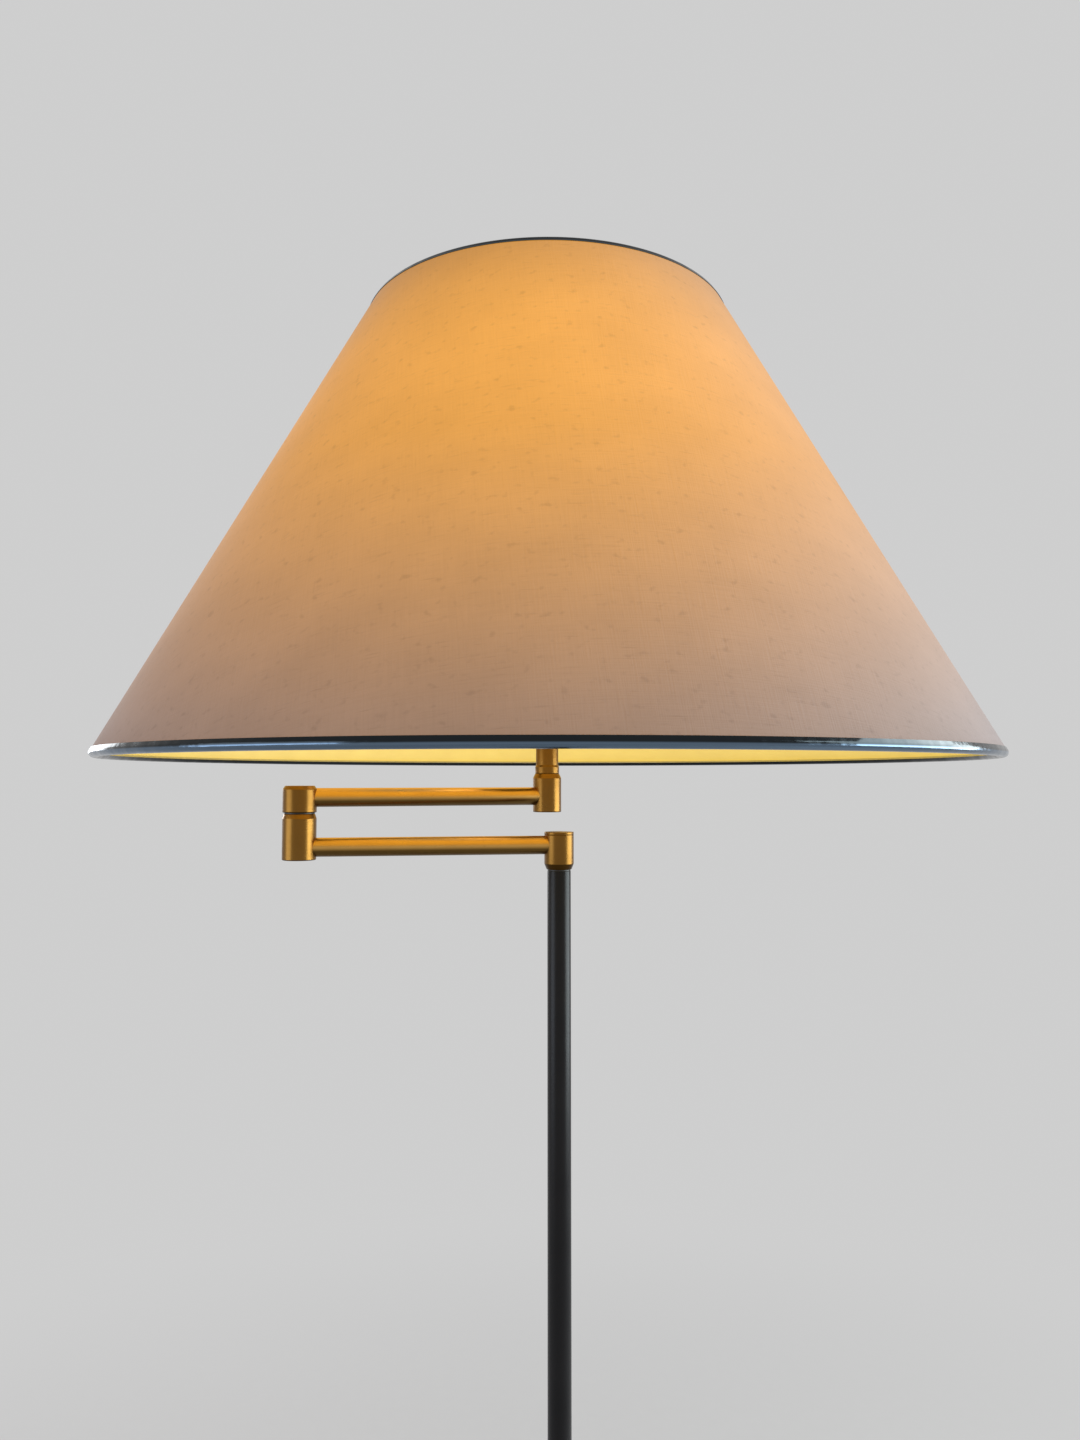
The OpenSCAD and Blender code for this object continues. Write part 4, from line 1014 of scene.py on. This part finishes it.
def bulb_glow(tree, place, peak, peak_z, below, above, rest, to_sides):
    """The bulb's light on the shade, painted on as a glow: most at peak_z, and less at the two sides.

    The painted glow falls off over the lengths below and above, down to rest. Towards the left and
    right, along X, it is painted weaker by the share to_sides.
    """
    from_axis = add_node(tree, "ShaderNodeVectorMath", {0: place, 1: shade_at}, operation="SUBTRACT")
    height = add_node(tree, "ShaderNodeSeparateXYZ", {"Vector": place}).outputs["Z"]
    away = reckon(tree, "SUBTRACT", height, peak_z)
    over = reckon(tree, "DIVIDE", away, above)
    under = reckon(tree, "DIVIDE", away, -below)
    share = reckon(tree, "MAXIMUM", over, under)
    minus = reckon(tree, "MULTIPLY", reckon(tree, "MULTIPLY", share, share), -1.0)
    bell = reckon(tree, "EXPONENT", minus)
    level = add_node(
        tree,
        "ShaderNodeVectorMath",
        {0: from_axis.outputs[0], 1: (1, 1, 0)},
        operation="MULTIPLY",
    )
    way = add_node(tree, "ShaderNodeVectorMath", {0: level.outputs[0]}, operation="NORMALIZE")
    side = add_node(tree, "ShaderNodeSeparateXYZ", {"Vector": way.outputs[0]}).outputs["X"]
    sides = reckon(tree, "MULTIPLY", side, side)
    round_share = reckon(tree, "MULTIPLY_ADD", sides, -to_sides, 1.0)
    glow = reckon(tree, "MULTIPLY_ADD", bell, peak - rest, rest)
    return reckon(tree, "MULTIPLY", glow, round_share)


fabric = roll_cone("linen_cone", face_out, fabric_t, 40, 288)
linen, tree, shader = new_finish("slub_linen")
place = add_node(tree, "ShaderNodeTexCoord").outputs["Object"]
cloth = add_node(tree, "ShaderNodeUVMap", uv_map="flat_cut").outputs["UV"]


def cloth_noise(along_weft, along_warp, detail=2.0):
    """Noise on the cloth, with its grains per metre along the weft and along the warp."""
    drawn = add_node(
        tree, "ShaderNodeMapping", {"Vector": cloth, "Scale": (along_weft, along_warp, 1)}
    )
    return add_node(
        tree,
        "ShaderNodeTexNoise",
        {"Vector": drawn.outputs["Vector"], "Scale": 1.0, "Detail": detail},
    ).outputs["Fac"]


def between(value, low, high, to_low=0.0, to_high=1.0):
    """Maps a value from low and high to to_low and to_high, and no further."""
    return add_node(
        tree,
        "ShaderNodeMapRange",
        {"Value": value, "From Min": low, "From Max": high, "To Min": to_low, "To Max": to_high},
    ).outputs["Result"]


def combine(operation, a, b):
    """One Math node on two values."""
    return reckon(tree, operation, a, b)


warp = cloth_noise(1500.0, 45.0)
weft = cloth_noise(45.0, 1500.0)
threads = combine("ADD", warp, weft)
slubs = between(cloth_noise(85.0, 950.0, 1.0), 0.64, 0.80)
warp_slubs = between(cloth_noise(950.0, 110.0, 1.0), 0.66, 0.82)
specks = between(cloth_noise(210.0, 260.0, 1.5), 0.61, 0.76)
clouds = cloth_noise(22.0, 30.0, 4.0)
thick = combine("MAXIMUM", combine("MULTIPLY", slubs, 0.8), combine("MULTIPLY", warp_slubs, 0.5))
flaws = combine("MAXIMUM", thick, specks)
thread_tone = between(threads, 0.75, 1.25, 0.972, 1.024)
cloud_tone = between(clouds, 0.3, 0.7, 0.96, 1.04)
flaw_tone = between(flaws, 0.0, 1.0, 1.0, 0.87)
tone = combine("MULTIPLY", combine("MULTIPLY", thread_tone, cloud_tone), flaw_tone)
glow = bulb_glow(
    tree, place, peak=0.83, peak_z=1.410, below=0.168, above=0.100, rest=0.0, to_sides=0.28
)
tree.links.new(combine("MULTIPLY", glow, tone), shader.inputs["Emission Strength"])
shader.inputs["Emission Color"].default_value = (1.0, 0.42, 0.025, 1)
# Painted light: the base colour is a cool grey low down and turns warm and darker near the bulb's height, for
# the bulb's light.
height = add_node(tree, "ShaderNodeSeparateXYZ", {"Vector": place}).outputs["Z"]
painted_warmth_share = between(height, 1.235, 1.360)
ground = add_node(tree, "ShaderNodeMix", {0: painted_warmth_share}, data_type="RGBA")
ground.inputs["A"].default_value = (0.170, 0.182, 0.215, 1)
ground.inputs["B"].default_value = (0.135, 0.098, 0.085, 1)
shaded = add_node(
    tree,
    "ShaderNodeMix",
    {0: 1.0, "A": ground.outputs["Result"], "B": tone},
    data_type="RGBA",
    blend_type="MULTIPLY",
)
tree.links.new(shaded.outputs["Result"], shader.inputs["Base Color"])
relief = combine("ADD", threads, combine("MULTIPLY", slubs, 0.6))
bump = add_node(
    tree, "ShaderNodeBump", {"Height": relief, "Strength": 0.35, "Distance": 0.0003}
)
tree.links.new(bump.outputs["Normal"], shader.inputs["Normal"])
shader.inputs["Roughness"].default_value = 0.85
shader.inputs["Specular IOR Level"].default_value = 0.1
shader.inputs["Sheen Weight"].default_value = 0.15
shader.inputs["Sheen Roughness"].default_value = 0.5
shader.inputs["Sheen Tint"].default_value = (0.92, 0.97, 1.0, 1)
fabric.data.materials.append(linen)
ride_for(fabric, "shade", "linen", "shade_fabric")

# ---------- shade lining ----------
# The stiff translucent lining inside the linen, bright with the bulb's light.
liner = roll_cone("styrene_cone", face_out - fabric_t - seat, liner_t, 12, 288)
lining, tree, shader = new_finish("lit_lining")
place = add_node(tree, "ShaderNodeTexCoord").outputs["Object"]
haze = add_node(tree, "ShaderNodeTexNoise", {"Vector": place, "Scale": 60.0, "Detail": 5.0})
lining_tone = between(haze.outputs["Fac"], 0.3, 0.7, 0.96, 1.04)
lining_glow = bulb_glow(
    tree, place, peak=0.88, peak_z=1.370, below=0.200, above=0.120, rest=0.25, to_sides=0.1
)
tree.links.new(combine("MULTIPLY", lining_glow, lining_tone), shader.inputs["Emission Strength"])
shader.inputs["Emission Color"].default_value = (1.0, 0.70, 0.12, 1)
pale = add_node(tree, "ShaderNodeMix", {0: haze.outputs["Fac"]}, data_type="RGBA")
pale.inputs["A"].default_value = (0.42, 0.34, 0.17, 1)
pale.inputs["B"].default_value = (0.48, 0.40, 0.20, 1)
tree.links.new(pale.outputs["Result"], shader.inputs["Base Color"])
shader.inputs["Roughness"].default_value = 0.55
liner.data.materials.append(lining)
ride_for(liner, "shade", "styrene_lining", "shade_liner")

# ---------- shade rings ----------
# Two plain steel wire rings inside the edges, which hold the cone round.
zinc = speckled("zinc_steel", (0.36, 0.37, 0.38), (0.55, 0.56, 0.58), 220.0, 0.38, 1.0, 0.03)
ring_out = ring_r + trim_t + seat - bead_r
for name, node, up in (
    ("wire_ring_top", "shade_top_ring", slant),
    ("wire_ring_bottom", "shade_bottom_ring", 0),
):
    centre_r, centre_z = on_shade(up, ring_out)
    section = arc_points(centre_r, centre_z, ring_r, 0, 360, 16)
    ring = turn(name, section, shade_at[:2], steps=192)
    ring.data.materials.append(zinc)
    ride_for(ring, "shade", "zinc_steel", node)

# ---------- shade trims ----------
# A strip of gunmetal-plated brass rolled round each edge, over the ring, the lining and the
# linen. Its outer underside carries a painted pale blue reflection, and the rest is dark, nearly black.
trim_face = 0.0015
trim_lip = 0.001
half_blend = 0.0004
reflection_drop = 0.0004
reflection_fade = 0.0008


def roll_section(edge, way, radius):
    """The round part of a trim's section: way is 1 at the top edge's side, -1 at the bottom."""
    angles = [math.radians(90 + way * 180 * i / 24) for i in range(25)]
    return [on_shade(edge + radius * math.cos(a), radius * math.sin(a)) for a in angles]


def gunmetal(name, dark_z, bright_z, inside_r):
    """Plated gunmetal: dark at dark_z and inside inside_r, with a painted pale blue reflection by bright_z.
    """
    finish, tree, shader = new_finish(name)
    place = add_node(tree, "ShaderNodeTexCoord").outputs["Object"]
    height = add_node(tree, "ShaderNodeSeparateXYZ", {"Vector": place}).outputs["Z"]
    across = add_node(tree, "ShaderNodeVectorMath", {0: place, 1: shade_at}, operation="SUBTRACT")
    level = add_node(
        tree, "ShaderNodeVectorMath", {0: across.outputs[0], 1: (1, 1, 0)}, operation="MULTIPLY"
    )
    radius = add_node(tree, "ShaderNodeVectorMath", {0: level.outputs[0]}, operation="LENGTH")
    dents = add_node(tree, "ShaderNodeTexNoise", {"Vector": place, "Scale": 38.0, "Detail": 3.0})
    smear = add_node(tree, "ShaderNodeTexNoise", {"Vector": place, "Scale": 260.0, "Detail": 4.0})
    low_side = add_node(
        tree,
        "ShaderNodeMapRange",
        {"Value": height, "From Min": dark_z, "From Max": bright_z},
        interpolation_type="SMOOTHSTEP",
    )
    out_side = add_node(
        tree,
        "ShaderNodeMapRange",
        {
            "Value": radius.outputs["Value"],
            "From Min": inside_r - half_blend,
            "From Max": inside_r + half_blend,
        },
    )
    # Painted reflection: pale blue on the outer underside of the roll, dark elsewhere.
    painted_reflection = reckon(tree, "MULTIPLY", low_side.outputs["Result"], out_side.outputs["Result"])
    tone = add_node(tree, "ShaderNodeMix", {0: painted_reflection}, data_type="RGBA")
    tone.inputs["A"].default_value = (0.022, 0.026, 0.029, 1)
    tone.inputs["B"].default_value = (0.115, 0.165, 0.230, 1)
    gloss = add_node(
        tree,
        "ShaderNodeMapRange",
        {"Value": smear.outputs["Fac"], "From Min": 0.3, "From Max": 0.7, "To Min": 0.08, "To Max": 0.22},
    )
    bump = add_node(
        tree, "ShaderNodeBump", {"Height": dents.outputs["Fac"], "Strength": 0.5, "Distance": 0.002}
    )
    shader.inputs["Metallic"].default_value = 1.0
    tree.links.new(tone.outputs["Result"], shader.inputs["Base Color"])
    tree.links.new(gloss.outputs["Result"], shader.inputs["Roughness"])
    tree.links.new(bump.outputs["Normal"], shader.inputs["Normal"])
    return finish


for name, node, edge, way in (
    ("gunmetal_trim_top", "shade_top_trim", slant, -1),
    ("gunmetal_trim_bottom", "shade_bottom_trim", 0, 1),
):
    section = (
        [on_shade(edge + way * trim_face, bead_r)]
        + roll_section(edge, way, bead_r)
        + [on_shade(edge + way * trim_lip, -bead_r), on_shade(edge + way * trim_lip, -bead_r + trim_t)]
        + roll_section(edge, way, bead_r - trim_t)[::-1]
        + [on_shade(edge + way * trim_face, bead_r - trim_t)]
    )
    trim = turn(name, section + section[:1], shade_at[:2], steps=288)
    roll_centre_r, roll_centre_z = on_shade(edge, 0)
    bright_z = roll_centre_z - reflection_drop
    trim.data.materials.append(gunmetal(name, bright_z + reflection_fade, bright_z, roll_centre_r))
    ride_for(trim, "shade", "gunmetal_trim", node)

# ---------- spider ----------
# Three brass wire arms brazed between the shade's hub and its top ring.
hub_r = 0.0095
hub_t = 0.0032
hub_bore = 0.00315
arm_r = 0.0015
arm_sunk = 0.002
hub_gap = 0.0001
ring_at_r, ring_at_z = on_shade(slant, ring_out)
hub_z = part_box("finial")[0].z - hub_gap - hub_t
section = [(hub_r, hub_z), (hub_r, hub_z + hub_t), (hub_bore, hub_z + hub_t), (hub_bore, hub_z)]
parts = [turn("brass_spider", section + section[:1], steps=64, bevel=0.0004)]
for i in range(3):
    a = math.radians(90 + 120 * i)
    start = (hub_r - arm_sunk, hub_z + arm_r + hub_gap)
    end = (ring_at_r, ring_at_z)
    path = []
    for step in range(9):
        t = step / 8
        radius = start[0] + (end[0] - start[0]) * t
        rise = start[1] + (end[1] - start[1]) * t
        path.append((radius * math.cos(a), radius * math.sin(a), rise))
    parts.append(bend_wire("spider_arm", path, arm_r))
spider = join(parts)
turn_to_arm(spider)
spider.data.materials.append(harp_brass)
ride_for(spider, "shade", "satin_brass", "shade_spider")

# ---------- inner pieces ----------
# What the covers hide keeps its own shape and gets its real finish: the iron weight on its
# felt, the hardware that clamps the base, the pivots, the leads and the inside of the socket.
felt = speckled("felt", (0.018, 0.026, 0.018), (0.040, 0.052, 0.040), 700.0, 0.92, 0.0, 0.3)
iron = speckled("cast_iron", (0.030, 0.030, 0.033), (0.060, 0.059, 0.060), 180.0, 0.70, 0.3, 0.3)
rubber = speckled("black_rubber", (0.010, 0.010, 0.010), (0.020, 0.020, 0.020), 350.0, 0.62)
nylon = speckled("white_nylon", (0.62, 0.58, 0.48), (0.72, 0.69, 0.60), 160.0, 0.45)
dark_nylon = speckled("black_nylon", (0.012, 0.011, 0.010), (0.024, 0.022, 0.020), 160.0, 0.45)
sleeving = speckled("lead_insulation", (0.12, 0.08, 0.02), (0.20, 0.14, 0.04), 500.0, 0.55)
card = speckled("fibre_sleeve", (0.20, 0.13, 0.07), (0.32, 0.22, 0.12), 240.0, 0.75)
contact = speckled("contact_brass", (0.60, 0.42, 0.16), (0.74, 0.56, 0.26), 220.0, 0.30, 1.0, 0.02)
coil = speckled("filament", (0.75, 0.45, 0.15), (0.90, 0.60, 0.25), 400.0, 0.40)
inner_pieces = (
    (felt, ("base_felt",)),
    (iron, ("base_weight",)),
    (zinc, ("base_nipple", "base_washer", "base_nut", "terminal_screws", "pole_foot_insert")),
    (zinc, ("pole_coupling", "pole_pivot", "pole_pivot_nut", "pole_wave_washer", "elbow_pivot")),
    (zinc, ("elbow_wave_washer", "elbow_pivot_nut", "stem_nipple")),
    (rubber, ("cord_bushing",)),
    (nylon, ("terminal_block",)),
    (dark_nylon, ("pole_thrust_washer", "elbow_thrust_washer")),
    (sleeving, ("pole_lead", "lower_arm_lead", "upper_arm_lead")),
    (card, ("socket_sleeve",)),
    (phenolic, ("socket_body", "bulb_tip")),
    (contact, ("screw_shell", "centre_contact")),
    (coil, ("bulb_filament",)),
)
for finish, nodes in inner_pieces:
    for node in nodes:
        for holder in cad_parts[node].material_slots:
            holder.material = finish
